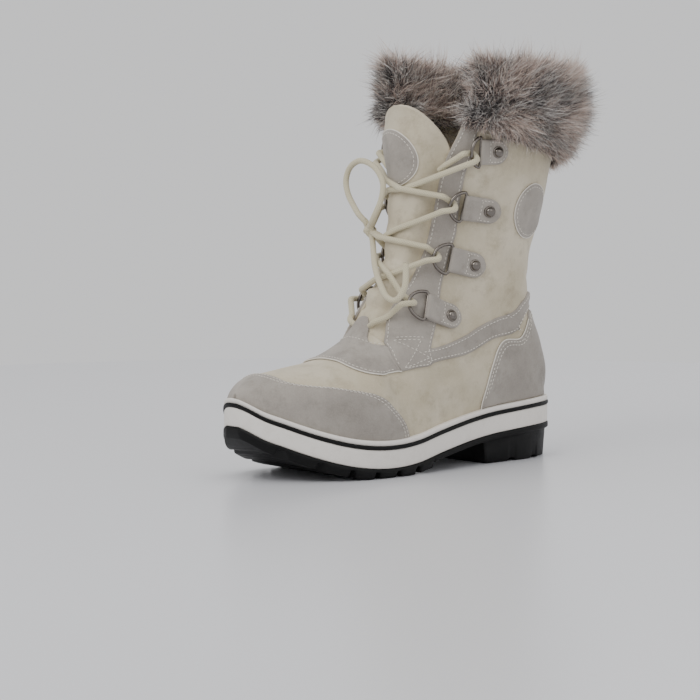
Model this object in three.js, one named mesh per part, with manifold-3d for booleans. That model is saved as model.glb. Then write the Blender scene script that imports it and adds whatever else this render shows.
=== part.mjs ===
// Snow boot for the left foot: moulded sole, hollow leather upper, laced throat and a fur collar.
// Millimetres, +Z up, toe towards -Y, heel towards +Y, outer side of the foot towards +X.
import * as THREE from 'three';
import { mergeVertices } from 'three/addons/utils/BufferGeometryUtils.js';
import Module from 'manifold-3d';

const wasm = await Module();
wasm.setup();

// Sole
const LENGTH = 278;
const BALL_WIDTH = 101;
const BALL_HEIGHT = 6.6;
const HEEL_RISE = 18.9;
const TOE_SPRING = 31.4;
const LOWER_BAND = 13;
const STRIPE_HEIGHT = 2.8;
const UPPER_BAND = 3.7;
const STRIPE_DEPTH = 1.7;
const STRIPE_PROUD = 0.7;
const EDGE_ROUND = 0.9;
const PLATE = 4.2;
const RIM_PROUD = 0.6;
const HEEL_INSET = 4.6;
const HEEL_BLOCK_LENGTH = 78;
const HEEL_GROOVE = 2.2;
const LUG_INSET = 2.2;
const LUG_PITCH = 19.4;
const LUG_GROOVE = 4.6;
const LUG_FLAT = 1.2;
const INSOLE_THICKNESS = 4;

// Upper
const FEATHER_INSET = 4;
const BULGE = 1.5;
const TOE_HEIGHT = 43;
const LEG_HEIGHT = 183;
const BACK_HEIGHT = 205;
const ANKLE_WIDTH = 74;
const COLLAR_WIDTH = 103;
const WALL = 2.6;
const OVERLAY = 1.2;
const TONGUE_THICKNESS = 5;
const TONGUE_LAP = 0.15;
const TONGUE_WIDTH = 66;
const TONGUE_POINT = 5;
const SHAFT_PATCH_RADIUS = 20;
const TONGUE_PATCH_RADIUS = 21;

// Hardware and lace
const TAB_THICKNESS = 1.6;
const TAB_WIDTH = 18;
const TAB_END = 9;
const TAB_REACH = 17.5;
const RING_WIRE = 2.4;
const RING_HEIGHT = 24;
const RING_DEPTH = 14;
const RING_STANDOFF = 9.8;
const RIVET_DIAMETER = 8.2;
const RIVET_HEIGHT = 3.2;
const LACE = 4.3;

// Fur
const FUR_OUT = 21;
const FUR_IN = 11;
const LOCK_LENGTH = 19;
const LOCK_WIDTH = 15;

// Clearance between neighbours, and room round the laces
const GAP = 0.3;
const LACE_ROOM = 1;
const STRIPE_GAP = 0.5;

const BAND = LOWER_BAND + STRIPE_HEIGHT + UPPER_BAND;
const HALF = LENGTH / 2;
const WIDE = 2 * BALL_WIDTH;
const OVER = GAP + OVERLAY;

// Plan outline: share of length from the heel, then roundness of the outer side and of the inner side
// and offset of the centre line, as shares of the ball width.
const OUTLINE = [
  [0.00, 0.6931, 0.6931, 0.0000],
  [0.09, 0.5713, 0.5713, 0.0000],
  [0.25, 0.4287, 0.4119, 0.0000],
  [0.45, 0.4327, 0.3584, 0.0000],
  [0.64, 0.5248, 0.4851, 0.0000],
  [0.80, 0.5891, 0.5891, -0.0149],
  [1.00, 0.5990, 0.5990, -0.1188],
];

// Side profile of the sole: share of length, share of the heel rise, share of the toe spring.
const PROFILE = [
  [0.000, 1.000, 0.000],
  [0.100, 0.989, 0.000],
  [0.200, 0.899, 0.000],
  [0.290, 0.783, 0.000],
  [0.380, 0.603, 0.000],
  [0.480, 0.339, 0.000],
  [0.570, 0.090, 0.000],
  [0.650, 0.000, 0.000],
  [0.720, 0.000, 0.025],
  [0.800, 0.000, 0.140],
  [0.870, 0.000, 0.331],
  [0.930, 0.000, 0.564],
  [0.966, 0.000, 0.729],
  [1.000, 0.000, 1.000],
];

// Sections of the last, toe to collar. Each lies in the plane through a back point and a front point.
// Back point: share of length, share of back height above the feather line.
// Front point: share of length, shares of toe height and of leg height above the feather line.
// Half widths: outer and inner as shares of the half ankle, then share of the flare to the collar.
// A width of 0 follows the feather line. Last, the roundness of the section.
const STATIONS = [
  [0.9856, 0.0000, 0.9856, 0.1111, 0.0000, 0.0000, 0.0000, 0.0000, 2.00],
  [0.9784, 0.0000, 0.9712, 0.2880, 0.0000, 0.0000, 0.0000, 0.0000, 2.00],
  [0.9622, 0.0000, 0.9478, 0.4861, 0.0000, 0.0000, 0.0000, 0.0000, 2.10],
  [0.9353, 0.0000, 0.9209, 0.6494, 0.0000, 0.0000, 0.0000, 0.0000, 2.20],
  [0.8957, 0.0000, 0.8885, 0.8012, 0.0000, 0.0000, 0.0000, 0.0000, 2.25],
  [0.8345, 0.0000, 0.8273, 1.0000, 0.0015, 0.0000, 0.0000, 0.0000, 2.25],
  [0.7482, 0.0000, 0.7482, 1.0000, 0.0474, 0.0000, 0.0000, 0.0000, 2.20],
  [0.6547, 0.0000, 0.6835, 1.0000, 0.0917, 0.0000, 0.0000, 0.0000, 2.10],
  [0.5540, 0.0000, 0.6367, 1.0000, 0.1465, 1.1892, 1.0405, 0.0000, 2.05],
  [0.4460, 0.0000, 0.6007, 1.0000, 0.2139, 1.1216, 1.0000, 0.0000, 2.00],
  [0.3309, 0.0000, 0.5647, 1.0000, 0.2815, 1.0811, 1.0000, 0.0000, 2.05],
  [0.2230, 0.0000, 0.5324, 1.0000, 0.3439, 1.0541, 1.0000, 0.0000, 2.10],
  [0.1295, 0.0000, 0.5072, 1.0000, 0.4044, 1.0135, 0.9865, 0.0000, 2.15],
  [0.0647, 0.0000, 0.4892, 1.0000, 0.4644, 1.0000, 0.9730, 0.0000, 2.20],
  [0.0288, 0.0000, 0.4784, 1.0000, 0.5215, 1.0000, 0.9865, 0.0000, 2.25],
  [0.0144, 0.0000, 0.4712, 1.0000, 0.5741, 1.0000, 1.0000, 0.0000, 2.25],
  [0.0122, 0.0537, 0.4676, 1.0000, 0.6222, 1.0000, 1.0000, 0.0345, 2.25],
  [0.0288, 0.1268, 0.4658, 1.0000, 0.6709, 1.0000, 1.0000, 0.0690, 2.20],
  [0.0558, 0.2098, 0.4665, 1.0000, 0.7148, 1.0000, 1.0000, 0.1379, 2.15],
  [0.0737, 0.2927, 0.4683, 1.0000, 0.7591, 1.0000, 1.0000, 0.2069, 2.10],
  [0.0791, 0.3854, 0.4712, 1.0000, 0.8036, 1.0000, 1.0000, 0.3448, 2.05],
  [0.0748, 0.4878, 0.4748, 1.0000, 0.8483, 1.0000, 1.0000, 0.4828, 2.00],
  [0.0522, 0.5805, 0.4784, 1.0000, 0.8876, 1.0000, 1.0000, 0.6207, 2.00],
  [0.0252, 0.6829, 0.4820, 1.0000, 0.9214, 1.0000, 1.0000, 0.7586, 2.00],
  [0.0054, 0.7902, 0.4845, 1.0000, 0.9494, 1.0000, 1.0000, 0.8276, 2.00],
  [-0.0126, 0.9024, 0.4871, 1.0000, 0.9775, 1.0000, 1.0000, 0.9310, 2.00],
  [-0.0216, 1.0000, 0.4892, 1.0000, 1.0000, 1.0000, 1.0000, 1.0000, 2.00],
  [-0.0288, 1.0585, 0.4921, 1.0000, 1.0774, 1.0000, 1.0000, 1.0690, 2.00],
  [-0.0342, 1.1073, 0.4950, 1.0000, 1.1548, 1.0000, 1.0000, 1.1034, 2.00],
  [-0.0378, 1.1415, 0.4978, 1.0000, 1.2157, 1.0000, 1.0000, 1.1379, 2.00],
];
const LAST_FOOT_STATION = 15;
const COLLAR_STATION = 26;
const TOP_STATION = STATIONS.length - 1;

// Side-view outlines: station, and share of the way from its back point to its front point.
const THROAT_EDGE = [
  [8.38, 0.874],
  [8.70, 0.900],
  [9.12, 0.930],
  [11.43, 0.939],
  [12.60, 0.940],
  [15.80, 0.935],
  [18.55, 0.907],
  [21.30, 0.864],
  [24.73, 0.806],
  [26.00, 0.785],
  [29.00, 0.740],
];
const THROAT_FOOT = [[8.15, 0.930], [8.60, 0.985], [8.95, 1.060]];
const RAND_SEAM = [
  [3.38, 1.060],
  [3.80, 0.849],
  [4.67, 0.747],
  [5.40, 0.695],
  [6.35, 0.604],
  [6.80, 0.507],
  [7.15, 0.361],
  [7.50, 0.177],
  [7.58, -0.200],
];
const COUNTER_SEAM = [
  [10.10, -0.200],
  [10.15, 0.000],
  [10.58, 0.145],
  [11.40, 0.301],
  [12.70, 0.392],
  [14.60, 0.345],
  [16.85, 0.270],
];
const BAND_SEAM = [
  [5.95, 1.060],
  [6.45, 0.955],
  [6.90, 0.833],
  [7.78, 0.655],
  [8.10, 0.600],
];
const STAY_FOOT = [[8.35, 0.829], [8.22, 0.740], [8.22, 0.612]];
const STAY_SOLE = [[8.80, 0.556], [9.35, 0.505]];
const STAY_REAR = [
  [9.65, 0.600],
  [10.60, 0.710],
  [11.98, 0.804],
  [13.60, 0.840],
  [16.43, 0.820],
  [19.80, 0.776],
  [22.08, 0.748],
  [24.95, 0.730],
  [26.00, 0.715],
];
const STRAP_LOWER = [
  [9.60, 0.500],
  [10.75, 0.436],
  [12.33, 0.429],
  [14.60, 0.385],
  [17.00, 0.288],
  [18.40, 0.140],
  [19.70, -0.200],
];
const STRAP_UPPER = [
  [9.90, 0.590],
  [11.18, 0.542],
  [13.25, 0.512],
  [15.80, 0.420],
  [18.18, 0.237],
  [19.30, 0.110],
  [20.35, -0.200],
];

// One row for each lace tab, bottom to top: station and share of its rivet, slope of the tab in degrees.
const TABS = [
  [11.25, 0.685, 23],
  [15.23, 0.717, 13],
  [20.03, 0.597, 6],
  [23.38, 0.617, 0],
];

const COLOURS = {
  cream: { color: '#c9c2b2', roughness: 0.85, metalness: 0 },
  grey: { color: '#a9a7a5', roughness: 0.9, metalness: 0 },
  white: { color: '#dddad3', roughness: 0.6, metalness: 0 },
  black: { color: '#232323', roughness: 0.7, metalness: 0 },
  metal: { color: '#6f6a66', roughness: 0.3, metalness: 1 },
  lace: { color: '#cfc9b4', roughness: 0.9, metalness: 0 },
  fur: { color: '#7b6b63', roughness: 1, metalness: 0 },
  lining: { color: '#b9b2a4', roughness: 1, metalness: 0 },
};

const clamp = (v, lo, hi) => Math.min(hi, Math.max(lo, v));
const mix = (a, b, u) => a + (b - a) * u;

// Value of a table at x: a cubic through its rows, with slopes from three rows each.
function curve(table, x) {
  const last = table.length - 1;
  const at = clamp(x, table[0][0], table[last][0]);
  let i = 0;
  while (i < last - 1 && table[i + 1][0] <= at) i += 1;
  const step = (r) => table[r + 1][0] - table[r][0];
  const rise = (r, c) => (table[r + 1][c] - table[r][c]) / step(r);
  const slope = (r, c) => {
    if (r === 0) return rise(0, c);
    if (r === last) return rise(last - 1, c);
    return (rise(r - 1, c) * step(r) + rise(r, c) * step(r - 1)) / (step(r) + step(r - 1));
  };
  const h = step(i);
  const u = (at - table[i][0]) / h;
  const out = [];
  for (let c = 1; c < table[0].length; c += 1) {
    const a = (2 * u ** 3 - 3 * u ** 2 + 1) * table[i][c];
    const b = (u ** 3 - 2 * u ** 2 + u) * h * slope(i, c);
    const d = (-2 * u ** 3 + 3 * u ** 2) * table[i + 1][c];
    const e = (u ** 3 - u ** 2) * h * slope(i + 1, c);
    out.push(a + b + d + e);
  }
  return out;
}

// Sole: plan and heights
function halfWidth(side, q, grow) {
  const [outer, inner] = curve(OUTLINE, q);
  const round = (side > 0 ? outer : inner) * BALL_WIDTH;
  return (round + grow) * 2 * Math.sqrt(Math.max(0, q * (1 - q)));
}
const centreLine = (q) => curve(OUTLINE, q)[2] * BALL_WIDTH;
function soleZ(s) {
  const [heel, toe] = curve(PROFILE, clamp(s / LENGTH, 0, 1));
  return BALL_HEIGHT + heel * HEEL_RISE + toe * TOE_SPRING;
}
const featherZ = (s) => soleZ(s) + BAND;
const world = (x, s, z) => new THREE.Vector3(x, HALF - s, z);

// Upper: sections of the last
const FEATHER_Q = (s) => clamp((s - FEATHER_INSET) / (LENGTH - 2 * FEATHER_INSET), 0, 1);
const stationRows = STATIONS.map(([back, rise, front, toe, leg, outer, inner, flare, round], k) => {
  const s = back * LENGTH;
  const widen = flare * (COLLAR_WIDTH - ANKLE_WIDTH) / 2;
  const widths = [outer, inner].map((share, i) => {
    if (share > 0) return share * ANKLE_WIDTH / 2 + widen;
    const foot = halfWidth(i === 0 ? 1 : -1, FEATHER_Q(s), -FEATHER_INSET);
    return foot + (k === 0 ? 0 : BULGE * Math.min(1, foot / 20));
  });
  const onFoot = k <= LAST_FOOT_STATION;
  const backZ = onFoot ? featherZ(s) : featherZ(0) + rise * BACK_HEIGHT;
  const frontZ = featherZ(front * LENGTH) + toe * TOE_HEIGHT + leg * LEG_HEIGHT;
  return [k, s, backZ, front * LENGTH, frontZ, widths[0], widths[1], round];
});

function station(k) {
  const [s0, z0, s1, z1, outer, inner, round] = curve(stationRows, k);
  const onFoot = k <= LAST_FOOT_STATION;
  const q = FEATHER_Q(s0);
  return {
    s0,
    z0: onFoot ? featherZ(s0) : z0,
    s1,
    z1,
    round,
    centre: onFoot ? centreLine(q) : 0,
    side(sign) {
      const foot = k < LAST_FOOT_STATION ? halfWidth(sign, q, -FEATHER_INSET) : 0;
      const width = Math.max(sign > 0 ? outer : inner, foot + 1e-6);
      return { width, start: Math.asin(clamp(foot / width, 0, 1) ** (round / 2)) };
    },
  };
}

const power = (v, e) => Math.sign(v) * Math.abs(v) ** e;

// Point of a section, for an angle share from 0 at its bottom to 1 at its front.
function sectionPoint(st, sign, share) {
  const { width, start } = st.side(sign);
  const angle = start + (Math.PI - start) * share;
  const top = Math.cos(start) ** (2 / st.round);
  const along = (top - power(Math.cos(angle), 2 / st.round)) / (top + 1);
  const out = width * Math.abs(Math.sin(angle)) ** (2 / st.round);
  return { x: st.centre + sign * out, s: mix(st.s0, st.s1, along), z: mix(st.z0, st.z1, along), along };
}

// Points of a half section, spaced along its own length.
function sectionAt(k, sign) {
  const st = station(k);
  const fine = [];
  for (let i = 0; i <= 72; i += 1) fine.push(sectionPoint(st, sign, i / 72));
  const run = [0];
  for (let i = 1; i < fine.length; i += 1) {
    const a = fine[i - 1];
    const b = fine[i];
    run.push(run[i - 1] + Math.hypot(a.x - b.x, a.s - b.s, a.z - b.z));
  }
  const out = [];
  spread.forEach((share) => {
    const want = run[72] * share;
    let i = 1;
    while (i < 72 && run[i] < want) i += 1;
    const u = run[i] === run[i - 1] ? 0 : (want - run[i - 1]) / (run[i] - run[i - 1]);
    const a = fine[i - 1];
    const b = fine[i];
    out.push({
      k,
      p: world(mix(a.x, b.x, u), mix(a.s, b.s, u), mix(a.z, b.z, u)),
      along: mix(a.along, b.along, u),
    });
  });
  return out;
}

// Side-view place of a station and a share along it.
function sidePlace([k, along]) {
  const st = station(k);
  return [mix(st.s0, st.s1, along), mix(st.z0, st.z1, along)];
}

// Surface point at a side-view place.
function surfaceAt(s, z, sign) {
  const across = (k) => {
    const st = station(k);
    return (st.s1 - st.s0) * (z - st.z0) - (st.z1 - st.z0) * (s - st.s0);
  };
  let lo = 4;
  let hi = TOP_STATION;
  const low = across(lo);
  for (let i = 0; i < 40; i += 1) {
    const mid = (lo + hi) / 2;
    if (Math.sign(across(mid)) === Math.sign(low)) lo = mid;
    else hi = mid;
  }
  const st = station(lo);
  const run = (st.s1 - st.s0) ** 2 + (st.z1 - st.z0) ** 2;
  const along = clamp(((s - st.s0) * (st.s1 - st.s0) + (z - st.z0) * (st.z1 - st.z0)) / run, 0, 1);
  const { width, start } = st.side(sign);
  const top = Math.cos(start) ** (2 / st.round);
  const cosine = power(top - along * (top + 1), st.round / 2);
  const sine = Math.sqrt(Math.max(0, 1 - cosine * cosine));
  return world(st.centre + sign * width * sine ** (2 / st.round), s, z);
}

// Point and outward normal on the surface at a side-view place.
function surfaceFrame(s, z, sign) {
  const p = surfaceAt(s, z, sign);
  const a = surfaceAt(s + 1, z, sign).sub(surfaceAt(s - 1, z, sign));
  const b = surfaceAt(s, z + 1, sign).sub(surfaceAt(s, z - 1, sign));
  const n = a.cross(b).normalize();
  if (n.x * sign < 0) n.negate();
  return { p: onSkin(p, n), n };
}

// Solids
function toManifold(geometry) {
  const g = geometry.clone();
  g.deleteAttribute('normal');
  g.deleteAttribute('uv');
  const merged = mergeVertices(g, 1e-4);
  const index = merged.getIndex().array;
  const tris = [];
  for (let i = 0; i < index.length; i += 3) {
    const [a, b, c] = [index[i], index[i + 1], index[i + 2]];
    if (a !== b && b !== c && c !== a) tris.push(a, b, c);
  }
  return new wasm.Manifold(new wasm.Mesh({
    numProp: 3,
    vertProperties: new Float32Array(merged.getAttribute('position').array),
    triVerts: new Uint32Array(tris),
  }));
}

function toGeometry(manifold) {
  const mesh = manifold.getMesh();
  const g = new THREE.BufferGeometry();
  g.setAttribute('position', new THREE.BufferAttribute(new Float32Array(mesh.vertProperties), 3));
  g.setIndex(new THREE.BufferAttribute(new Uint32Array(mesh.triVerts), 1));
  g.computeVertexNormals();
  return g;
}

function fromFaces(points, faces) {
  const g = new THREE.BufferGeometry();
  g.setAttribute('position', new THREE.Float32BufferAttribute(points.flatMap((p) => [p.x, p.y, p.z]), 3));
  g.setIndex(faces.flat());
  return g;
}

// Solid from faces that all turn one way, whichever way that is.
function closedSolid(points, faces) {
  const solid = toManifold(fromFaces(points, faces));
  return solid.volume() < 0 ? toManifold(fromFaces(points, faces.map(([a, b, c]) => [a, c, b]))) : solid;
}

// Solid drawn in plan: each layer is the outline, grown, at a height that follows the sole.
function layered(layers, count, closed) {
  const points = [];
  const faces = [];
  const ringSize = 2 * count;
  layers.forEach(([grow, height]) => {
    for (let i = 0; i < ringSize; i += 1) {
      const sign = i <= count ? 1 : -1;
      const turn = Math.PI * (i <= count ? i : ringSize - i) / count;
      const q = (1 - Math.cos(turn)) / 2;
      const s = -grow + q * (LENGTH + 2 * grow);
      const half = i === 0 || i === count ? 0 : halfWidth(sign, q, grow);
      points.push(world(centreLine(q) + sign * half, s, height(s)));
    }
  });
  const rows = closed ? layers.length : layers.length - 1;
  for (let r = 0; r < rows; r += 1) {
    const a = r * ringSize;
    const b = ((r + 1) % layers.length) * ringSize;
    for (let i = 0; i < ringSize; i += 1) {
      const j = (i + 1) % ringSize;
      faces.push([a + i, b + j, a + j], [a + i, b + i, b + j]);
    }
  }
  if (!closed) {
    const top = (layers.length - 1) * ringSize;
    const across = (base, flip) => {
      for (let i = 0; i < count; i += 1) {
        const quad = [base + i, base + i + 1, base + ringSize - i - 1, base + (ringSize - i) % ringSize];
        const tris = [[quad[0], quad[1], quad[2]], [quad[0], quad[2], quad[3]]];
        tris.forEach((t) => {
          if (new Set(t).size === 3) faces.push(flip ? [t[0], t[2], t[1]] : t);
        });
      }
    };
    across(0, false);
    across(top, true);
  }
  return toManifold(fromFaces(points, faces));
}

// Solid drawn in side view, and as wide as asked.
function sidePrism(places, from, to) {
  const shape = new THREE.Shape(places.map(([s, z]) => new THREE.Vector2(s, z)));
  const g = new THREE.ExtrudeGeometry(shape, { depth: to - from, bevelEnabled: false });
  g.applyMatrix4(new THREE.Matrix4().set(0, 0, -1, to, -1, 0, 0, HALF, 0, 1, 0, 0, 0, 0, 0, 1));
  return toManifold(g);
}

// Outline moved inwards by a distance.
function shrink(outline, by) {
  const n = outline.length;
  const area = outline.reduce((sum, [a, b], i) => {
    const [c, d] = outline[(i + 1) % n];
    return sum + a * d - b * c;
  }, 0);
  const turn = Math.sign(area) * by;
  return outline.map(([s, z], i) => {
    const [s0, z0] = outline[(i + n - 1) % n];
    const [s1, z1] = outline[(i + 1) % n];
    const a = new THREE.Vector2(s - s0, z - z0).normalize();
    const b = new THREE.Vector2(s1 - s, z1 - z).normalize();
    const reach = 1 / Math.max(0.4, (1 + a.dot(b)) / 2);
    const inward = new THREE.Vector2(-(a.y + b.y) / 2, (a.x + b.x) / 2).multiplyScalar(turn * reach);
    return [s + inward.x, z + inward.y];
  });
}

// Solid drawn in a plane with its own axes.
function localPrism(outline, origin, u, v, n, from, to) {
  const shape = new THREE.Shape(outline.map(([a, b]) => new THREE.Vector2(a, b)));
  const g = new THREE.ExtrudeGeometry(shape, { depth: to - from, bevelEnabled: false });
  g.translate(0, 0, from);
  g.applyMatrix4(new THREE.Matrix4().makeBasis(u, v, n).setPosition(origin));
  return toManifold(g);
}

function circle(radius, sides, turn = 0) {
  const out = [];
  for (let i = 0; i < sides; i += 1) {
    const a = 2 * Math.PI * i / sides + turn;
    out.push([radius * Math.cos(a), radius * Math.sin(a)]);
  }
  return out;
}

function tube(points, radius, sides, steps) {
  const shape = new THREE.Shape(circle(radius, sides).map(([a, b]) => new THREE.Vector2(a, b)));
  const path = new THREE.CatmullRomCurve3(points, false, 'centripetal');
  return new THREE.ExtrudeGeometry(shape, { steps, extrudePath: path, bevelEnabled: false });
}

// The last's surface as one grid, shared by every wall, so that neighbouring walls lie parallel.
const ROWS = [0, 0.7, 1.5, 2.6, 4, 5.4, 6.6, 7.7, 8.8, 10, 11.2, 12.3, 13.4, 14.2, 15, 16.8, 18.8, 20.7,
  22.6, 24.4, 25.2, COLLAR_STATION, 26.6, 27.4, 28.1, 28.6];
const ACROSS = 8;
const SKIRT = 6;
const spread = Array.from({ length: ACROSS + 1 }, (_, j) => {
  const u = j / ACROSS;
  return 0.45 * u + 0.55 * (0.5 - 0.5 * Math.cos(Math.PI * u));
});

function surfaceGrid() {
  const points = [];
  const info = [];
  const keys = new Map();
  const add = (p, about) => {
    const key = [p.x, p.y, p.z].map((v) => Math.round(v * 1e3)).join();
    if (!keys.has(key)) {
      keys.set(key, points.length);
      points.push(p);
      info.push(about);
    }
    return keys.get(key);
  };
  const grid = ROWS.map((k) => {
    const row = [...sectionAt(k, 1), ...sectionAt(k, -1).reverse().slice(1)];
    const drop = k <= LAST_FOOT_STATION ? SKIRT : 0;
    const hang = ({ p }) => ({ k, along: 0, p: new THREE.Vector3(p.x, p.y, p.z - drop) });
    return [hang(row[0]), ...row, hang(row[row.length - 1])].map((e) => add(e.p, e));
  });
  const faces = [];
  for (let i = 0; i + 1 < grid.length; i += 1) {
    for (let j = 0; j + 1 < grid[i].length; j += 1) {
      const [a, b, c, d] = [grid[i][j], grid[i][j + 1], grid[i + 1][j + 1], grid[i + 1][j]];
      const outerSide = j <= ACROSS;
      (outerSide ? [[a, c, b], [a, d, c]] : [[a, d, b], [b, d, c]]).forEach((t) => {
        if (new Set(t).size === 3) faces.push({ i, t });
      });
    }
  }
  const normals = points.map(() => new THREE.Vector3());
  faces.forEach(({ t: [a, b, c] }) => {
    const n = points[b].clone().sub(points[a]).cross(points[c].clone().sub(points[a]));
    [a, b, c].forEach((i) => normals[i].add(n));
  });
  normals.forEach((n) => n.normalize());
  return { points, info, faces, normals };
}
const SURFACE = surfaceGrid();

// Point of the grid's own facets that is seen from p along n.
function onSkin(p, n) {
  const ray = new THREE.Ray(p.clone().addScaledVector(n, BULGE * 4), n.clone().negate());
  let best = p;
  let near = Infinity;
  SURFACE.faces.forEach(({ t: [a, b, c] }) => {
    const hit = new THREE.Vector3();
    if (!ray.intersectTriangle(SURFACE.points[a], SURFACE.points[b], SURFACE.points[c], false, hit)) return;
    const away = hit.distanceTo(ray.origin);
    if (away < near) [near, best] = [away, hit];
  });
  return best;
}

// Wall between two offsets of that surface, over the rows from one station to another.
function wall(from, to, outer, inner) {
  const { points, info, normals } = SURFACE;
  const first = ROWS.findIndex((k) => k >= from);
  const last = ROWS.findLastIndex((k) => k <= to);
  const faces = SURFACE.faces.filter(({ i }) => i >= first && i < last).map(({ t }) => t);
  const shift = (by) => points.map((p, i) => p.clone().addScaledVector(normals[i], by(info[i])));
  const all = [...shift(outer), ...shift(inner)];
  const off = points.length;
  const out = faces.map((f) => [...f]);
  const seen = new Map();
  faces.forEach(([a, b, c]) => {
    out.push([a + off, c + off, b + off]);
    [[a, b], [b, c], [c, a]].forEach(([u, v]) => seen.set(`${u},${v}`, [u, v]));
  });
  seen.forEach(([u, v]) => {
    if (!seen.has(`${v},${u}`)) out.push([v, u, u + off], [v, u + off, v + off]);
  });
  return toManifold(fromFaces(all, out));
}

const every = (from, to, steps) => Array.from({ length: steps + 1 }, (_, i) => mix(from, to, i / steps));
const layer = (outer, inner) => wall(0, COLLAR_STATION, () => outer, () => inner);
const solids = {};

// Sole
const COUNT = 16;
const rise = (by) => (s) => soleZ(s) + by;
const grooveTop = LOWER_BAND + STRIPE_HEIGHT;
solids.midsole = layered([
  [-EDGE_ROUND, rise(0)],
  [0, rise(EDGE_ROUND)],
  [0, rise(LOWER_BAND)],
  [-STRIPE_DEPTH, rise(LOWER_BAND)],
  [-STRIPE_DEPTH, rise(grooveTop)],
  [0, rise(grooveTop)],
  [0, rise(BAND - EDGE_ROUND)],
  [-EDGE_ROUND, rise(BAND)],
], COUNT, false);
solids.sole_stripe = layered([
  [GAP - STRIPE_DEPTH, rise(LOWER_BAND + STRIPE_GAP)],
  [STRIPE_PROUD, rise(LOWER_BAND + STRIPE_GAP)],
  [STRIPE_PROUD, rise(grooveTop - STRIPE_GAP)],
  [GAP - STRIPE_DEPTH, rise(grooveTop - STRIPE_GAP)],
], COUNT, true);

const floorFree = (s) => Math.max(0, soleZ(s) - GAP - PLATE);
const plate = layered([
  [RIM_PROUD - EDGE_ROUND - 1, (s) => floorFree(s)],
  [RIM_PROUD, (s) => floorFree(s) + EDGE_ROUND],
  [RIM_PROUD, rise(-GAP - EDGE_ROUND / 2)],
  [0, rise(-GAP)],
], COUNT, false);
const ballS = 0.68 * LENGTH;
const lugTip = (s) => Math.max(0, soleZ(s) - BALL_HEIGHT - LUG_FLAT);
let lugs = layered([
  [-LUG_INSET - 1, lugTip],
  [-LUG_INSET, (s) => lugTip(s) + 1],
  [-LUG_INSET, (s) => soleZ(s) - GAP - 1],
], COUNT, false);
const lugStart = ballS - 2.5 * LUG_PITCH;
lugs = lugs.intersect(sidePrism([
  [lugStart, -5],
  [LENGTH * 1.1, -5],
  [LENGTH * 1.1, 3 * TOE_SPRING],
  [lugStart, 3 * TOE_SPRING],
], -WIDE, WIDE));
for (let i = 1; i < 7; i += 1) {
  const s = lugStart + i * LUG_PITCH;
  const low = lugTip(s) - 3;
  const top = Math.max(BALL_HEIGHT - GAP - PLATE + 0.4, 1.6) + lugTip(s);
  const chevron = [[-1, 7], [0, 0], [1, 7]].map(([side, back]) => [side * BALL_WIDTH / 2, s - back]);
  const half = LUG_GROOVE / 2;
  const outline = [
    ...chevron.map(([x, at]) => [x, HALF - at - half]),
    ...chevron.reverse().map(([x, at]) => [x, HALF - at + half]),
  ];
  const axes = [new THREE.Vector3(1, 0, 0), new THREE.Vector3(0, 1, 0), new THREE.Vector3(0, 0, 1)];
  lugs = lugs.subtract(localPrism(outline, new THREE.Vector3(), ...axes, low, top));
}
const blockEnd = HEEL_INSET + HEEL_BLOCK_LENGTH;
let block = layered([
  [-HEEL_INSET - 1.2, () => 0],
  [-HEEL_INSET, () => 1.2],
  [-HEEL_INSET, rise(-GAP - 1)],
], COUNT, false);
const breast = [
  [-10, -5],
  [blockEnd - 4, -5],
  [blockEnd - 4, 2],
  [blockEnd, BALL_HEIGHT + 0.55 * HEEL_RISE],
  [blockEnd + 6, BALL_HEIGHT + HEEL_RISE + 5],
  [-10, BALL_HEIGHT + HEEL_RISE + 5],
];
block = block.intersect(sidePrism(breast, -WIDE, WIDE));
[0.34, 0.67].forEach((share) => {
  const at = HEEL_INSET + share * (HEEL_BLOCK_LENGTH - 4);
  const cut = [
    [at - LUG_GROOVE, -5],
    [at + LUG_GROOVE, -5],
    [at + LUG_GROOVE, 0],
    [at + LUG_GROOVE / 2, HEEL_GROOVE],
    [at - LUG_GROOVE / 2, HEEL_GROOVE],
    [at - LUG_GROOVE, 0],
  ];
  block = block.subtract(sidePrism(cut, -WIDE, WIDE));
});
solids.outsole = plate.add(lugs).add(block);

// Everything below the feather line, in the same steps as the top of the midsole
const featherLine = [[-0.1 * LENGTH, featherZ(0) + GAP]];
for (let i = 0; i <= COUNT; i += 1) {
  const s = EDGE_ROUND + (LENGTH - 2 * EDGE_ROUND) * (1 - Math.cos(Math.PI * i / COUNT)) / 2;
  featherLine.push([s, featherZ(s) + GAP]);
}
featherLine.push([1.1 * LENGTH, featherZ(LENGTH) + GAP]);
const below = sidePrism([[-0.1 * LENGTH, -30], [1.1 * LENGTH, -30], ...featherLine.reverse()], -WIDE, WIDE);
const envelope = layer(OVER + GAP, -WALL - GAP);
const insoleGrow = -(FEATHER_INSET + WALL + GAP + EDGE_ROUND);
solids.insole = layered([
  [insoleGrow, rise(BAND - 2 * EDGE_ROUND)],
  [insoleGrow, rise(BAND + GAP + INSOLE_THICKNESS - EDGE_ROUND)],
  [insoleGrow - EDGE_ROUND, rise(BAND + GAP + INSOLE_THICKNESS)],
], COUNT, false).subtract(below).subtract(envelope);

// Upper
const places = (rows) => rows.map(sidePlace);
const beyond = [LENGTH * 0.9, featherZ(0) + 1.5 * BACK_HEIGHT];
const throatOutline = [
  ...places([...THROAT_FOOT].reverse()),
  ...places(THROAT_EDGE),
  beyond,
  [LENGTH * 0.9, sidePlace(THROAT_FOOT[2])[1]],
];
const throatCut = sidePrism(throatOutline, -WIDE, WIDE);
const throatInside = sidePrism(shrink(throatOutline, 2 * GAP), -WIDE, WIDE);
solids.upper = layer(0, -WALL).subtract(below).subtract(throatCut);

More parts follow.
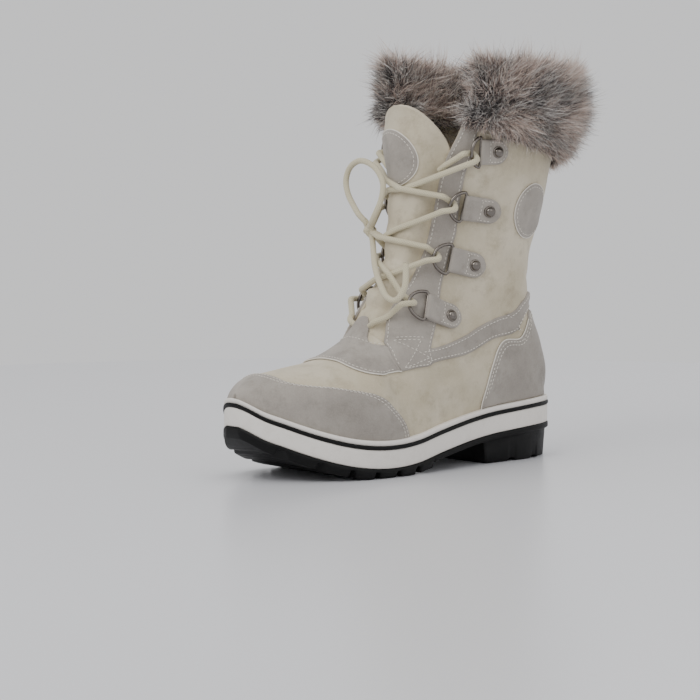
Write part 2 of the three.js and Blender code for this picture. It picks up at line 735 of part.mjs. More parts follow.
// Overlays
const skin = layer(OVER, GAP).subtract(below).subtract(throatCut);
const far = 1.2 * LENGTH;
const randOutline = [...places(RAND_SEAM), [far, 0], [far, 2 * TOE_HEIGHT + 2 * TOE_SPRING]];
solids.toe_rand = skin.intersect(sidePrism(randOutline, -WIDE, WIDE));
const counterTop = places(STRAP_LOWER.slice(5)).map(([s, z]) => [s, z - 2 * GAP]);
const counterOutline = [...places(COUNTER_SEAM), ...counterTop, [-far, counterTop[1][1]], [-far, 0]];
solids.heel_counter = skin.intersect(sidePrism(counterOutline, -WIDE, WIDE));
const strapOutline = [...places(STRAP_LOWER), ...places(STRAP_UPPER).reverse()];
solids.ankle_strap = skin.intersect(sidePrism(strapOutline, -WIDE, WIDE));
const stayOutline = places([...THROAT_EDGE.slice(0, 10), ...[...STAY_REAR].reverse(),
  ...[...STAY_SOLE].reverse(), ...[...STAY_FOOT].reverse()]);
solids.eyestay_lateral = skin.intersect(sidePrism(stayOutline, 0, WIDE));
solids.eyestay_medial = skin.intersect(sidePrism(stayOutline, -WIDE, 0));
const bandFront = places(BAND_SEAM);
const bandRear = places([...STAY_FOOT].reverse()).map(([s, z]) => [s + 2 * GAP, z - GAP]);
const bandTop = places([THROAT_EDGE[0], ...THROAT_FOOT]).map(([s, z], i) => [s + 2 * GAP, z - (i > 0 ? GAP : 0)]);
const bandOutline = [...bandFront, ...bandRear, ...bandTop];
solids.vamp_band = skin.intersect(sidePrism(bandOutline, -WIDE, WIDE));

// Round patch at the back of the leg
const [patchS, patchZ] = sidePlace([22.03, 0.245]);
const patch = surfaceFrame(patchS, patchZ, 1);
const patchUp = new THREE.Vector3(0, 0, 1).addScaledVector(patch.n, -patch.n.z).normalize();
const patchAcross = patchUp.clone().cross(patch.n).normalize();
const disc = (radius) => circle(radius, 20);
solids.shaft_patch = skin.intersect(
  localPrism(disc(SHAFT_PATCH_RADIUS), patch.p, patchAcross, patchUp, patch.n, -14, 12),
);

// Tongue: under the flaps beside the throat, and level with the upper between them
const throatAt = (k) => curve(THROAT_EDGE, k)[0];
function tongueOut({ k, along }) {
  const tucked = -(WALL + GAP);
  if (k < THROAT_EDGE[0][0]) return tucked;
  const edge = throatAt(k) + 0.012;
  const u = clamp((along - edge) / (1 - edge), 0, 1);
  return mix(tucked, 0, clamp(u * 2.2, 0, 1));
}
const TONGUE_ROWS = [7.7, 27.3];
const makeTongue = (more) => {
  const inside = (e) => tongueOut(e) - TONGUE_THICKNESS - more;
  const solid = wall(...TONGUE_ROWS, (e) => tongueOut(e) + more, inside);
  const edge = [[8.0, 0.80], [8.38, 0.76], ...THROAT_EDGE.slice(1)].map(([k, a]) => [k, a - TONGUE_LAP]);
  const outline = [...places(edge), beyond, [LENGTH * 0.9, sidePlace([8.0, 1])[1]], ...places([[8.0, 1.1]])];
  return solid.intersect(sidePrism(outline, -WIDE, WIDE));
};
const [, tongueTopZ] = sidePlace([COLLAR_STATION, 1]);
const arch = (more) => {
  const half = TONGUE_WIDTH / 2 + more;
  const crown = tongueTopZ + TONGUE_POINT + more;
  const shoulder = crown - half * 0.95;
  const out = [[half, -10], [half, shoulder]];
  for (let i = 1; i < 10; i += 1) {
    const a = Math.PI * i / 10;
    out.push([half * Math.cos(a), shoulder + (crown - shoulder) * Math.sin(a)]);
  }
  out.push([-half, shoulder], [-half, -10]);
  const [u, v, n] = [new THREE.Vector3(1, 0, 0), new THREE.Vector3(0, 0, 1), new THREE.Vector3(0, -1, 0)];
  return localPrism(out, new THREE.Vector3(), u, v, n, -LENGTH, LENGTH);
};
solids.tongue = makeTongue(0).intersect(arch(0)).subtract(envelope.subtract(throatInside));

// Round patch on the tongue
const [faceS, faceZ] = sidePlace([19.83, 1]);
const [aboveS, aboveZ] = sidePlace([21.5, 1]);
const faceUp = world(0, aboveS, aboveZ).sub(world(0, faceS, faceZ)).normalize();
const faceOut = new THREE.Vector3(1, 0, 0).cross(faceUp).normalize();
const faceAt = world(0, faceS, faceZ);
const tongueSkin = wall(...TONGUE_ROWS, (e) => tongueOut(e) + OVER, (e) => tongueOut(e) + GAP);
solids.tongue_patch = tongueSkin.intersect(
  localPrism(disc(TONGUE_PATCH_RADIUS), faceAt, new THREE.Vector3(1, 0, 0), faceUp, faceOut, -22, 10),
);

// Lace tabs, rings and rivets
const boreOuter = (RING_WIRE / 2 + GAP) / Math.cos(Math.PI / 6);
const rollOuter = boreOuter + 1;
const rollOffset = OVER + GAP + rollOuter;

// Places along a tab: share of its round end behind the rivet, share of the reach, share of the half width.
const TAB_SECTIONS = [
  [0.92, 0.00, 0.40],
  [0.64, 0.00, 0.77],
  [0.00, 0.00, 1.00],
  [0.00, 0.35, 1.00],
  [0.00, 0.70, 1.00],
  [0.00, 1.00, 1.00],
];

function hardware([k, along, slope], sign) {
  const [s0, z0] = sidePlace([k, along]);
  const lean = THREE.MathUtils.degToRad(slope);
  const frameAt = (s, z) => {
    const { p, n } = surfaceFrame(s, z, sign);
    const d = new THREE.Vector3(0, -Math.cos(lean), Math.sin(lean));
    d.addScaledVector(n, -d.dot(n)).normalize();
    return { p, n, d };
  };
  const walk = (distance) => {
    let s = s0;
    let z = z0;
    const steps = 8;
    for (let i = 0; i < steps; i += 1) {
      const { d } = frameAt(s, z);
      s -= d.y * distance / steps;
      z += d.z * distance / steps;
    }
    return frameAt(s, z);
  };
  return { rivet: walk(0), bar: walk(TAB_REACH), apex: walk(TAB_REACH + RING_DEPTH), walk };
}

// Edge of a tab, at a height above the overlays, lifted where the surface swells.
function tabEdge({ p, n, d }, half, height) {
  const edge = p.clone().addScaledVector(n.clone().cross(d), half);
  const swell = Math.max(0, onSkin(edge, n).sub(p).dot(n));
  return edge.addScaledVector(n, swell + OVER + GAP + height);
}

// Leather strap over the surface, from its round end behind the rivet to its fold.
function tabStrap({ walk }) {
  const points = [];
  TAB_SECTIONS.forEach(([end, reach, width]) => {
    const frame = walk(reach * TAB_REACH - end * TAB_END);
    const half = width * TAB_WIDTH / 2;
    [[-1, 0], [1, 0], [1, 1], [-1, 1]].forEach(([side, up]) => {
      points.push(tabEdge(frame, side * half, up * TAB_THICKNESS));
    });
  });
  const faces = [[0, 1, 2], [0, 2, 3]];
  for (let r = 0; r + 1 < TAB_SECTIONS.length; r += 1) {
    for (let i = 0; i < 4; i += 1) {
      const [a, b] = [4 * r + i, 4 * r + (i + 1) % 4];
      faces.push([a, b + 4, b], [a, a + 4, b + 4]);
    }
  }
  const end = 4 * (TAB_SECTIONS.length - 1);
  faces.push([end, end + 2, end + 1], [end, end + 3, end + 2]);
  return closedSolid(points, faces);
}

function makeTab(hw) {
  const { bar } = hw;
  const u = bar.n.clone().cross(bar.d).normalize();
  const centre = bar.p.clone().addScaledVector(bar.n, rollOffset);
  const ends = TAB_WIDTH / 2 - 0.7;
  const axes = [bar.n, bar.d, bar.n.clone().cross(bar.d)];
  const roll = localPrism(circle(rollOuter, 6), centre, ...axes, -ends, ends);
  const bore = localPrism(circle(boreOuter, 6), centre, ...axes, -ends - TAB_WIDTH, ends + TAB_WIDTH);
  return { solid: tabStrap(hw).add(roll).subtract(bore), centre, u };
}

// Ring: a straight bar inside the tab's fold and a round bow in front of it.
function ringPath(hw, centre, u) {
  const { bar, apex } = hw;
  const tip = apex.p.clone().addScaledVector(apex.n, RING_STANDOFF);
  const e = tip.sub(centre);
  e.addScaledVector(u, -e.dot(u)).normalize();
  const half = RING_HEIGHT / 2 - RING_WIRE / 2;
  const depth = RING_DEPTH - RING_WIRE / 2;
  const flat = [[0, -half * 0.92], [0, half * 0.92]];
  for (let i = 1; i < 8; i += 1) {
    const a = Math.PI / 2 - Math.PI * i / 8;
    flat.push([depth * Math.cos(a) + 0.6 * Math.abs(Math.sin(a)), half * Math.sin(a)]);
  }
  const w = e.clone().cross(u).normalize();
  if (w.dot(bar.n) < 0) w.negate();
  const at = ([a, b]) => centre.clone().addScaledVector(e, a).addScaledVector(u, b);
  return { points: flat.map(at), e, w, at };
}

function closedTube(points, normal, radius, sides) {
  const verts = [];
  const faces = [];
  const n = points.length;
  points.forEach((p, i) => {
    const t = points[(i + 1) % n].clone().sub(points[(i + n - 1) % n]).normalize();
    const out = t.clone().cross(normal).normalize();
    for (let j = 0; j < sides; j += 1) {
      const a = 2 * Math.PI * j / sides;
      verts.push(p.clone().addScaledVector(out, radius * Math.cos(a)).addScaledVector(normal, radius * Math.sin(a)));
    }
  });
  for (let i = 0; i < n; i += 1) {
    for (let j = 0; j < sides; j += 1) {
      const [a, b] = [i * sides + j, i * sides + (j + 1) % sides];
      const [c, d] = [((i + 1) % n) * sides + (j + 1) % sides, ((i + 1) % n) * sides + j];
      faces.push([a, b, c], [a, c, d]);
    }
  }
  return closedSolid(verts, faces);
}

function rivetSolid(hw) {
  const r = RIVET_DIAMETER / 2;
  const profile = [[0, 0], [r, 0], [r * 0.96, 0.35], [r * 0.62, 0.82], [0, 1]];
  const points = profile.map(([a, b]) => new THREE.Vector2(a, b * RIVET_HEIGHT));
  const g = new THREE.LatheGeometry(points, 8);
  const along = hw.walk(r).p.sub(hw.walk(-r).p);
  const [a, b] = [1, -1].map((side) => tabEdge(hw.rivet, side * TAB_WIDTH / 2, TAB_THICKNESS + GAP));
  const out = a.clone().sub(b).cross(along).normalize();
  if (out.dot(hw.rivet.n) < 0) out.negate();
  g.applyQuaternion(new THREE.Quaternion().setFromUnitVectors(new THREE.Vector3(0, 1, 0), out));
  const seat = a.add(b).multiplyScalar(0.5);
  g.translate(seat.x, seat.y, seat.z);
  return toManifold(g);
}

const rings = { 1: [], '-1': [] };
[1, -1].forEach((sign) => {
  const name = sign > 0 ? 'lateral' : 'medial';
  TABS.forEach((row, i) => {
    const hw = hardware(row, sign);
    const { solid, centre, u } = makeTab(hw);
    const path = ringPath(hw, centre, u);
    solids[`lace_tab_${name}_${i + 1}`] = solid;
    solids[`d_ring_${name}_${i + 1}`] = closedTube(path.points, path.w, RING_WIRE / 2, 5);
    solids[`rivet_${name}_${i + 1}`] = rivetSolid(hw);
    rings[sign].push({ ...path, hw, u });
  });
});

// Lace: each turn runs under a ring's bow, up through it and back over it
const laceR = LACE / 2;
const turnR = RING_WIRE / 2 + laceR + LACE_ROOM;
const bowAt = RING_DEPTH - RING_WIRE / 2;
function turnPoints(ring) {
  const up = ring.u.z > 0 ? 1 : -1;
  const at = (a, b, c) => ring.at([a, b * up]).addScaledVector(ring.w, c);
  return {
    under: [at(bowAt + 6, 5, -turnR * 0.75), at(bowAt + 1, 3.2, -turnR), at(bowAt - 3.4, 1.6, -turnR * 0.72)],
    through: at(bowAt - turnR - 0.6, 0, 0),
    over: [at(bowAt - 3.0, -1.6, turnR * 0.8), at(bowAt + 1, -3.2, turnR), at(bowAt + 6, -5, turnR * 0.55)],
  };
}
const laceHeight = laceR + LACE_ROOM + 0.7;
const ridge = (k, more = 0) => {
  const [s, z] = sidePlace([k, 1]);
  const [s2, z2] = sidePlace([k + 0.5, 1]);
  const up = world(0, s2, z2).sub(world(0, s, z)).normalize();
  const out = new THREE.Vector3(1, 0, 0).cross(up).normalize();
  return world(0, s, z).addScaledVector(out, laceHeight + more);
};
const aside = (k, along, sign, more = 0) => {
  const [s, z] = sidePlace([k, along]);
  const { p, n } = surfaceFrame(s, z, sign);
  return p.addScaledVector(n, laceHeight + more);
};
const turns = { 1: rings[1].map(turnPoints), '-1': rings['-1'].map(turnPoints) };
const strands = [];
const STRAND_SIDES = 5;
const STRAND_STEPS = 15;
const CROSS_AT = [12.0, 14.9, 16.9];
const KNOT_RADIUS = 6;
const knotAt = world(-22, 0.518 * LENGTH, 0.656 * tongueTopZ);
const KNOT_CROSS = 1;
[1, -1].forEach((sign) => {
  CROSS_AT.forEach((k, i) => {
    const a = turns[sign][i];
    const b = turns[-sign][i + 1];
    const path = [a.through, ...[...a.under].reverse()];
    if (i === KNOT_CROSS && sign < 0) path.push(knotAt);
    else path.push(aside(k - 0.9, 0.955, sign, OVER + 2.4));
    path.push(ridge(k, 0.6));
    if (i === KNOT_CROSS && sign > 0) path.push(knotAt);
    else path.push(aside(k + 0.9, 0.955, -sign, OVER + 2.4));
    path.push(...[...b.over].reverse(), b.through);
    strands.push(tube(path, laceR, STRAND_SIDES, STRAND_STEPS));
  });
});
strands.push(tube([
  turns[1][0].through, ...turns[1][0].over, aside(9.3, 0.975, 1, 0.6), ridge(9.15, 0.4),
  aside(9.3, 0.975, -1, 0.6), ...[...turns['-1'][0].over].reverse(), turns['-1'][0].through,
], laceR, STRAND_SIDES, STRAND_STEPS));
[1, -1].forEach((sign) => {
  const top = turns[sign][3];
  strands.push(tube([
    top.through, ...[...top.under].reverse(), aside(21.0, 0.845, sign, OVER + 1.4), aside(20.4, 0.875, sign, OVER + 1),
  ], laceR, STRAND_SIDES, 5));
});
const knot = new THREE.SphereGeometry(KNOT_RADIUS, 8, 6);
knot.translate(knotAt.x, knotAt.y, knotAt.z);
let crossings = toManifold(knot);
strands.forEach((g) => { crossings = crossings.add(toManifold(g)); });
solids.lace_crossings = crossings;

// Fur collar, open at the throat, folded over the top edge of the leg
const FUR = [
  [24.35, 0.20, 0.00],
  [24.70, 0.62, 0.00],
  [25.15, 0.86, 0.00],
  [25.60, 0.98, 0.85],
  [26.20, 1.00, 1.00],
  [26.90, 0.92, 0.95],
  [27.60, 0.74, 0.80],
  [28.30, 0.40, 0.45],
];
const furOut = ({ k }) => Math.max(1.5, curve(FUR, k)[0] * FUR_OUT);
const furIn = ({ k }) => -Math.max(1, curve(FUR, k)[1] * (FUR_IN + WALL));
let fur = wall(24.4, 28.6, furOut, furIn);
const furEdge = [[24.0, 0.80], [25.2, 0.79], [26.5, 0.77], [29.0, 0.73]];
const furKeep = [...places(furEdge), [-LENGTH, tongueTopZ + 90], [-LENGTH, tongueTopZ - 90]];
fur = fur.intersect(sidePrism(furKeep, -WIDE, WIDE));
const around = every(0, 1, 5);
const lockRows = [[25.0, -24], [26.3, 12], [27.6, 58]];
lockRows.forEach(([k, tilt], r) => {
  [1, -1].forEach((sign) => {
    around.forEach((share, i) => {
      const along = 0.03 + share * 0.66 + (r % 2) * 0.05;
      if (along > 0.745) return;
      const [s, z] = sidePlace([k, along]);
      const { p, n } = surfaceFrame(s, z, sign);
      const wave = Math.sin(i * 2.4 + r * 1.7 + sign);
      const lift = THREE.MathUtils.degToRad(tilt + 14 * wave);
      const dir = new THREE.Vector3(n.x, n.y, 0).normalize().multiplyScalar(Math.cos(lift));
      dir.z = Math.sin(lift);
      const base = p.addScaledVector(n, furOut({ k }) - 7);
      const cone = new THREE.ConeGeometry(LOCK_WIDTH / 2, LOCK_LENGTH * (1 + 0.2 * wave), 4);
      cone.translate(0, LOCK_LENGTH / 2, 0);
      cone.applyQuaternion(new THREE.Quaternion().setFromUnitVectors(new THREE.Vector3(0, 1, 0), dir));
      cone.translate(base.x, base.y, base.z);
      fur = fur.add(toManifold(cone));
    });
  });
});
const slot = wall(22.6, 26.6, () => OVER + GAP, () => -WALL - GAP);
fur = fur.subtract(slot).subtract(makeTongue(GAP * 1.5).intersect(arch(GAP * 1.5)));
solids.fur_collar = fur;

// Free cords: points stay as chosen
const P = (x, y, z) => new THREE.Vector3(x, y, z);
const bow = [
  P(-23.0, -8.0, 175.2), P(-28.0, -10.0, 180.2), P(-37.0, -8.0, 187.0), P(-45.0, -6.5, 195.5),
  P(-48.8, -5.0, 204.8), P(-45.8, -4.0, 213.7), P(-36.2, -3.5, 218.9), P(-25.0, -3.5, 217.5),
  P(-14.5, -4.0, 211.9), P(-7.6, -5.0, 202.7), P(-7.4, -7.0, 191.3), P(-11.0, -9.5, 181.0),
  P(-17.0, -8.7, 173.6),
];
const end = [
  P(-18.4, -5.8, 163.6), P(-14.2, -8.5, 157.0), P(-3.8, -16.0, 145.2), P(12.3, -25.0, 133.3),
  P(28.1, -31.0, 123.8), P(37.2, -31.0, 122.9), P(41.0, -27.0, 131.0), P(37.5, -22.5, 148.4),
];
solids.lace_bow = toManifold(tube(bow, laceR, 8, 14));
solids.lace_end = toManifold(tube(end, laceR, 8, 12));

// Scene
const looks = [
  [/^(upper|tongue)$/, 'cream'],
  [/^(midsole)$/, 'white'],
  [/^(outsole|sole_stripe)$/, 'black'],
  [/^(d_ring|rivet)/, 'metal'],
  [/^lace_(crossings|bow|end)/, 'lace'],
  [/^fur_collar$/, 'fur'],
  [/^insole$/, 'lining'],
  [/./, 'grey'],
];
const boot = new THREE.Group();
Object.entries(solids).forEach(([name, solid]) => {
  const look = looks.find(([pattern]) => pattern.test(name))[1];
  const mesh = new THREE.Mesh(toGeometry(solid), new THREE.MeshStandardMaterial(COLOURS[look]));
  mesh.name = name;
  boot.add(mesh);
});
const body = new THREE.Box3();
boot.children.forEach((mesh) => {
  if (!/^lace_(bow|end)$/.test(mesh.name)) body.expandByObject(mesh, true);
});
const middle = body.getCenter(new THREE.Vector3());
boot.position.set(-middle.x, -middle.y, -body.min.z);

export default boot;
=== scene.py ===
"""Snow boot for the left foot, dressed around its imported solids. Shape functions work in millimetres."""
import math

import bpy
import bmesh
import numpy as np
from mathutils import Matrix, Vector
from mathutils.bvhtree import BVHTree

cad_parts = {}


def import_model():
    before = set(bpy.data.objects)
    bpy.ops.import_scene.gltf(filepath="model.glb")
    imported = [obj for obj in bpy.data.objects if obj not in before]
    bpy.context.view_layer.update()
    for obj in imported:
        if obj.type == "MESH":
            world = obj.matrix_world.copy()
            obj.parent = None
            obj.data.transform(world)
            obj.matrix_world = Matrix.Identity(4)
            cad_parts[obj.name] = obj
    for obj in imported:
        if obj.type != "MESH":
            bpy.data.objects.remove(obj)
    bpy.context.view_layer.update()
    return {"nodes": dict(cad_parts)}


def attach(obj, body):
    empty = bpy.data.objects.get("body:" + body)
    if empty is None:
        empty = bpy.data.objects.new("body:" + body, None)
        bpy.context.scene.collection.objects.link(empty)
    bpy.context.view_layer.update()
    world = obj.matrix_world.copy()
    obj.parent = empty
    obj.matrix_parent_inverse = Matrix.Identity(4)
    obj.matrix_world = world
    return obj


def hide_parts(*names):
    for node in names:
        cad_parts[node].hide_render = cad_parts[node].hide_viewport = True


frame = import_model()

MM = 0.001
RNG = np.random.default_rng(7)

# Sole
LENGTH = 278.0
BALL_WIDTH = 101.0
BALL_HEIGHT = 6.6
HEEL_RISE = 18.9
TOE_SPRING = 31.4
LOWER_BAND = 13.0
STRIPE_HEIGHT = 2.8
UPPER_BAND = 3.7
PLATE = 4.2
HEEL_INSET = 4.6
HEEL_BLOCK_LENGTH = 78.0
HEEL_GROOVE = 2.2
LUG_PITCH = 19.4
LUG_GROOVE = 4.6
LUG_FLAT = 1.2
RIM_OUT = 0.6
BAND = LOWER_BAND + STRIPE_HEIGHT + UPPER_BAND
HALF = LENGTH / 2

# Upper
FEATHER_INSET = 4.0
BULGE = 1.5
TOE_HEIGHT = 43.0
LEG_HEIGHT = 183.0
BACK_HEIGHT = 205.0
ANKLE_WIDTH = 74.0
COLLAR_WIDTH = 103.0
WALL = 2.6
GAP = 0.3
OVER = GAP + 1.2
TONGUE_THICKNESS = 5.0
TONGUE_LAP = 0.15
TONGUE_WIDTH = 66.0
TONGUE_POINT = 5.0
SHAFT_PATCH_RADIUS = 20.0
TONGUE_PATCH_RADIUS = 21.0

# Hardware, lace and fur
TAB_THICKNESS = 1.6
TAB_WIDTH = 18.0
TAB_END = 9.0
TAB_REACH = 17.5
RING_WIRE = 2.4
RING_HEIGHT = 24.0
RING_DEPTH = 14.0
RING_STANDOFF = 9.8
RIVET_DIAMETER = 8.2
RIVET_HEIGHT = 3.2
LACE = 4.3
LACE_ROOM = 1.0
FUR_OUT = 21.0
FUR_IN = 11.0

# Plan outline: share of length, roundness outer, roundness inner, centre line, as shares of the ball width
OUTLINE = np.array([
    [0.00, 0.6931, 0.6931, 0.0000],
    [0.09, 0.5713, 0.5713, 0.0000],
    [0.25, 0.4287, 0.4119, 0.0000],
    [0.45, 0.4327, 0.3584, 0.0000],
    [0.64, 0.5248, 0.4851, 0.0000],
    [0.80, 0.5891, 0.5891, -0.0149],
    [1.00, 0.5990, 0.5990, -0.1188],
])
# Side profile: share of length, share of the heel rise, share of the toe spring
PROFILE = np.array([
    [0.000, 1.000, 0.000],
    [0.100, 0.989, 0.000],
    [0.200, 0.899, 0.000],
    [0.290, 0.783, 0.000],
    [0.380, 0.603, 0.000],
    [0.480, 0.339, 0.000],
    [0.570, 0.090, 0.000],
    [0.650, 0.000, 0.000],
    [0.720, 0.000, 0.025],
    [0.800, 0.000, 0.140],
    [0.870, 0.000, 0.331],
    [0.930, 0.000, 0.564],
    [0.966, 0.000, 0.729],
    [1.000, 0.000, 1.000],
])
# Sections of the last: back share, back rise, front share, toe share, leg share, outer width, inner width,
# flare and roundness
STATIONS = np.array([
    [0.9856, 0.0000, 0.9856, 0.1111, 0.0000, 0.0000, 0.0000, 0.0000, 2.00],
    [0.9784, 0.0000, 0.9712, 0.2880, 0.0000, 0.0000, 0.0000, 0.0000, 2.00],
    [0.9622, 0.0000, 0.9478, 0.4861, 0.0000, 0.0000, 0.0000, 0.0000, 2.10],
    [0.9353, 0.0000, 0.9209, 0.6494, 0.0000, 0.0000, 0.0000, 0.0000, 2.20],
    [0.8957, 0.0000, 0.8885, 0.8012, 0.0000, 0.0000, 0.0000, 0.0000, 2.25],
    [0.8345, 0.0000, 0.8273, 1.0000, 0.0015, 0.0000, 0.0000, 0.0000, 2.25],
    [0.7482, 0.0000, 0.7482, 1.0000, 0.0474, 0.0000, 0.0000, 0.0000, 2.20],
    [0.6547, 0.0000, 0.6835, 1.0000, 0.0917, 0.0000, 0.0000, 0.0000, 2.10],
    [0.5540, 0.0000, 0.6367, 1.0000, 0.1465, 1.1892, 1.0405, 0.0000, 2.05],
    [0.4460, 0.0000, 0.6007, 1.0000, 0.2139, 1.1216, 1.0000, 0.0000, 2.00],
    [0.3309, 0.0000, 0.5647, 1.0000, 0.2815, 1.0811, 1.0000, 0.0000, 2.05],
    [0.2230, 0.0000, 0.5324, 1.0000, 0.3439, 1.0541, 1.0000, 0.0000, 2.10],
    [0.1295, 0.0000, 0.5072, 1.0000, 0.4044, 1.0135, 0.9865, 0.0000, 2.15],
    [0.0647, 0.0000, 0.4892, 1.0000, 0.4644, 1.0000, 0.9730, 0.0000, 2.20],
    [0.0288, 0.0000, 0.4784, 1.0000, 0.5215, 1.0000, 0.9865, 0.0000, 2.25],
    [0.0144, 0.0000, 0.4712, 1.0000, 0.5741, 1.0000, 1.0000, 0.0000, 2.25],
    [0.0122, 0.0537, 0.4676, 1.0000, 0.6222, 1.0000, 1.0000, 0.0345, 2.25],
    [0.0288, 0.1268, 0.4658, 1.0000, 0.6709, 1.0000, 1.0000, 0.0690, 2.20],
    [0.0558, 0.2098, 0.4665, 1.0000, 0.7148, 1.0000, 1.0000, 0.1379, 2.15],
    [0.0737, 0.2927, 0.4683, 1.0000, 0.7591, 1.0000, 1.0000, 0.2069, 2.10],
    [0.0791, 0.3854, 0.4712, 1.0000, 0.8036, 1.0000, 1.0000, 0.3448, 2.05],
    [0.0748, 0.4878, 0.4748, 1.0000, 0.8483, 1.0000, 1.0000, 0.4828, 2.00],
    [0.0522, 0.5805, 0.4784, 1.0000, 0.8876, 1.0000, 1.0000, 0.6207, 2.00],
    [0.0252, 0.6829, 0.4820, 1.0000, 0.9214, 1.0000, 1.0000, 0.7586, 2.00],
    [0.0054, 0.7902, 0.4845, 1.0000, 0.9494, 1.0000, 1.0000, 0.8276, 2.00],
    [-0.0126, 0.9024, 0.4871, 1.0000, 0.9775, 1.0000, 1.0000, 0.9310, 2.00],
    [-0.0216, 1.0000, 0.4892, 1.0000, 1.0000, 1.0000, 1.0000, 1.0000, 2.00],
    [-0.0288, 1.0585, 0.4921, 1.0000, 1.0774, 1.0000, 1.0000, 1.0690, 2.00],
    [-0.0342, 1.1073, 0.4950, 1.0000, 1.1548, 1.0000, 1.0000, 1.1034, 2.00],
    [-0.0378, 1.1415, 0.4978, 1.0000, 1.2157, 1.0000, 1.0000, 1.1379, 2.00],
])
FOOT_END = 15
COLLAR = 26

# Seams in the side view: station, share from its back point to its front point
THROAT_EDGE = np.array([
    [8.38, 0.874], [8.70, 0.900], [9.12, 0.930], [11.43, 0.939], [12.60, 0.940], [15.80, 0.935],
    [18.55, 0.907], [21.30, 0.864], [24.73, 0.806], [26.00, 0.785], [29.00, 0.740],
])
RAND_SEAM = [
    (3.38, 1.060), (3.80, 0.849), (4.67, 0.747), (5.40, 0.695), (6.35, 0.604), (6.80, 0.507),
    (7.15, 0.361), (7.50, 0.177), (7.58, -0.200),
]
COUNTER_SEAM = [
    (10.10, -0.200), (10.15, 0.000), (10.58, 0.145), (11.40, 0.301), (12.70, 0.392), (14.60, 0.345),
    (16.85, 0.270),
]
STAY_FOOT = [(8.35, 0.829), (8.22, 0.740), (8.22, 0.612)]
STAY_SOLE = [(8.80, 0.556), (9.35, 0.505)]
STAY_REAR = [
    (9.65, 0.600), (10.60, 0.710), (11.98, 0.804), (13.60, 0.840), (16.43, 0.820), (19.80, 0.776),
    (22.08, 0.748), (24.95, 0.730), (26.00, 0.715),
]
STRAP_LOWER = [
    (9.60, 0.500), (10.75, 0.436), (12.33, 0.429), (14.60, 0.385), (17.00, 0.288), (18.40, 0.140),
    (19.70, -0.200),
]
STRAP_UPPER = [
    (9.90, 0.590), (11.18, 0.542), (13.25, 0.512), (15.80, 0.420), (18.18, 0.237), (19.30, 0.110),
    (20.35, -0.200),
]
# Lace tabs, bottom to top: station and share of the rivet, slope in degrees
TABS = [(11.25, 0.685, 23), (15.23, 0.717, 13), (20.03, 0.597, 6), (23.38, 0.617, 0)]
# Fur: station, share of its outer and inner depth
FUR = np.array([
    [24.35, 0.20, 0.00],
    [24.70, 0.62, 0.00],
    [25.15, 0.86, 0.00],
    [25.60, 0.98, 0.85],
    [26.20, 1.00, 1.00],
    [26.90, 0.92, 0.95],
    [27.60, 0.74, 0.80],
    [28.30, 0.40, 0.45],
])


# Shape functions
def curve(table, x):
    """A cubic through a table's rows, with slopes from three rows each."""
    knots, values = table[:, 0], table[:, 1:]
    at = np.clip(np.asarray(x, float), knots[0], knots[-1])
    i = np.clip(np.searchsorted(knots, at, side="right") - 1, 0, len(knots) - 2)
    step = np.diff(knots)
    rise = np.diff(values, axis=0) / step[:, None]
    slope = np.empty_like(values)
    slope[0], slope[-1] = rise[0], rise[-1]
    before, after = step[:-1, None], step[1:, None]
    slope[1:-1] = (rise[:-1] * after + rise[1:] * before) / (before + after)
    u = ((at - knots[i]) / step[i])[..., None]
    h = step[i][..., None]
    start = (2 * u**3 - 3 * u**2 + 1) * values[i] + (u**3 - 2 * u**2 + u) * h * slope[i]
    return start + (3 * u**2 - 2 * u**3) * values[i + 1] + (u**3 - u**2) * h * slope[i + 1]


def run_along(points):
    """Distance of each point of a line from its start."""
    return np.concatenate([[0], np.cumsum(np.linalg.norm(np.diff(points, axis=0), axis=1))])


def run_grid(points, axis):
    """Distance of each point of a grid from the start of its row or column."""
    steps = np.linalg.norm(np.diff(points, axis=axis), axis=2)
    return np.insert(np.cumsum(steps, axis), 0, 0.0, axis)


def at_run(at, run, points):
    """Points of a line at distances along it."""
    return np.column_stack([np.interp(at, run, c) for c in points.T])


def half_width(side, q, grow):
    q = np.clip(q, 0, 1)
    rows = curve(OUTLINE, q)
    roundness = np.where(np.asarray(side) > 0, rows[..., 0], rows[..., 1]) * BALL_WIDTH
    return (roundness + grow) * 2 * np.sqrt(q * (1 - q))


def centre_line(q):
    return curve(OUTLINE, q)[..., 2] * BALL_WIDTH


def sole_z(s):
    rows = curve(PROFILE, np.clip(np.asarray(s, float) / LENGTH, 0, 1))
    return BALL_HEIGHT + rows[..., 0] * HEEL_RISE + rows[..., 1] * TOE_SPRING


def feather_z(s):
    return sole_z(s) + BAND


def feather_q(s):
    return np.clip((s - FEATHER_INSET) / (LENGTH - 2 * FEATHER_INSET), 0, 1)


def world(x, s, z):
    return np.stack(np.broadcast_arrays(x, HALF - np.asarray(s, float), z), -1)


def station_table():
    rows = []
    for k, (back, rise, front, toe, leg, outer, inner, flare, roundness) in enumerate(STATIONS):
        s = back * LENGTH
        widen = flare * (COLLAR_WIDTH - ANKLE_WIDTH) / 2
        widths = []
        for side, share in ((1, outer), (-1, inner)):
            if share > 0:
                widths.append(share * ANKLE_WIDTH / 2 + widen)
            else:
                foot = float(half_width(side, feather_q(s), -FEATHER_INSET))
                widths.append(foot + (0 if k == 0 else BULGE * min(1, foot / 20)))
        back_z = float(feather_z(s)) if k <= FOOT_END else float(feather_z(0)) + rise * BACK_HEIGHT
        front_z = float(feather_z(front * LENGTH)) + toe * TOE_HEIGHT + leg * LEG_HEIGHT
        rows.append([k, s, back_z, front * LENGTH, front_z, *widths, roundness])
    return np.array(rows)


ROWS = station_table()


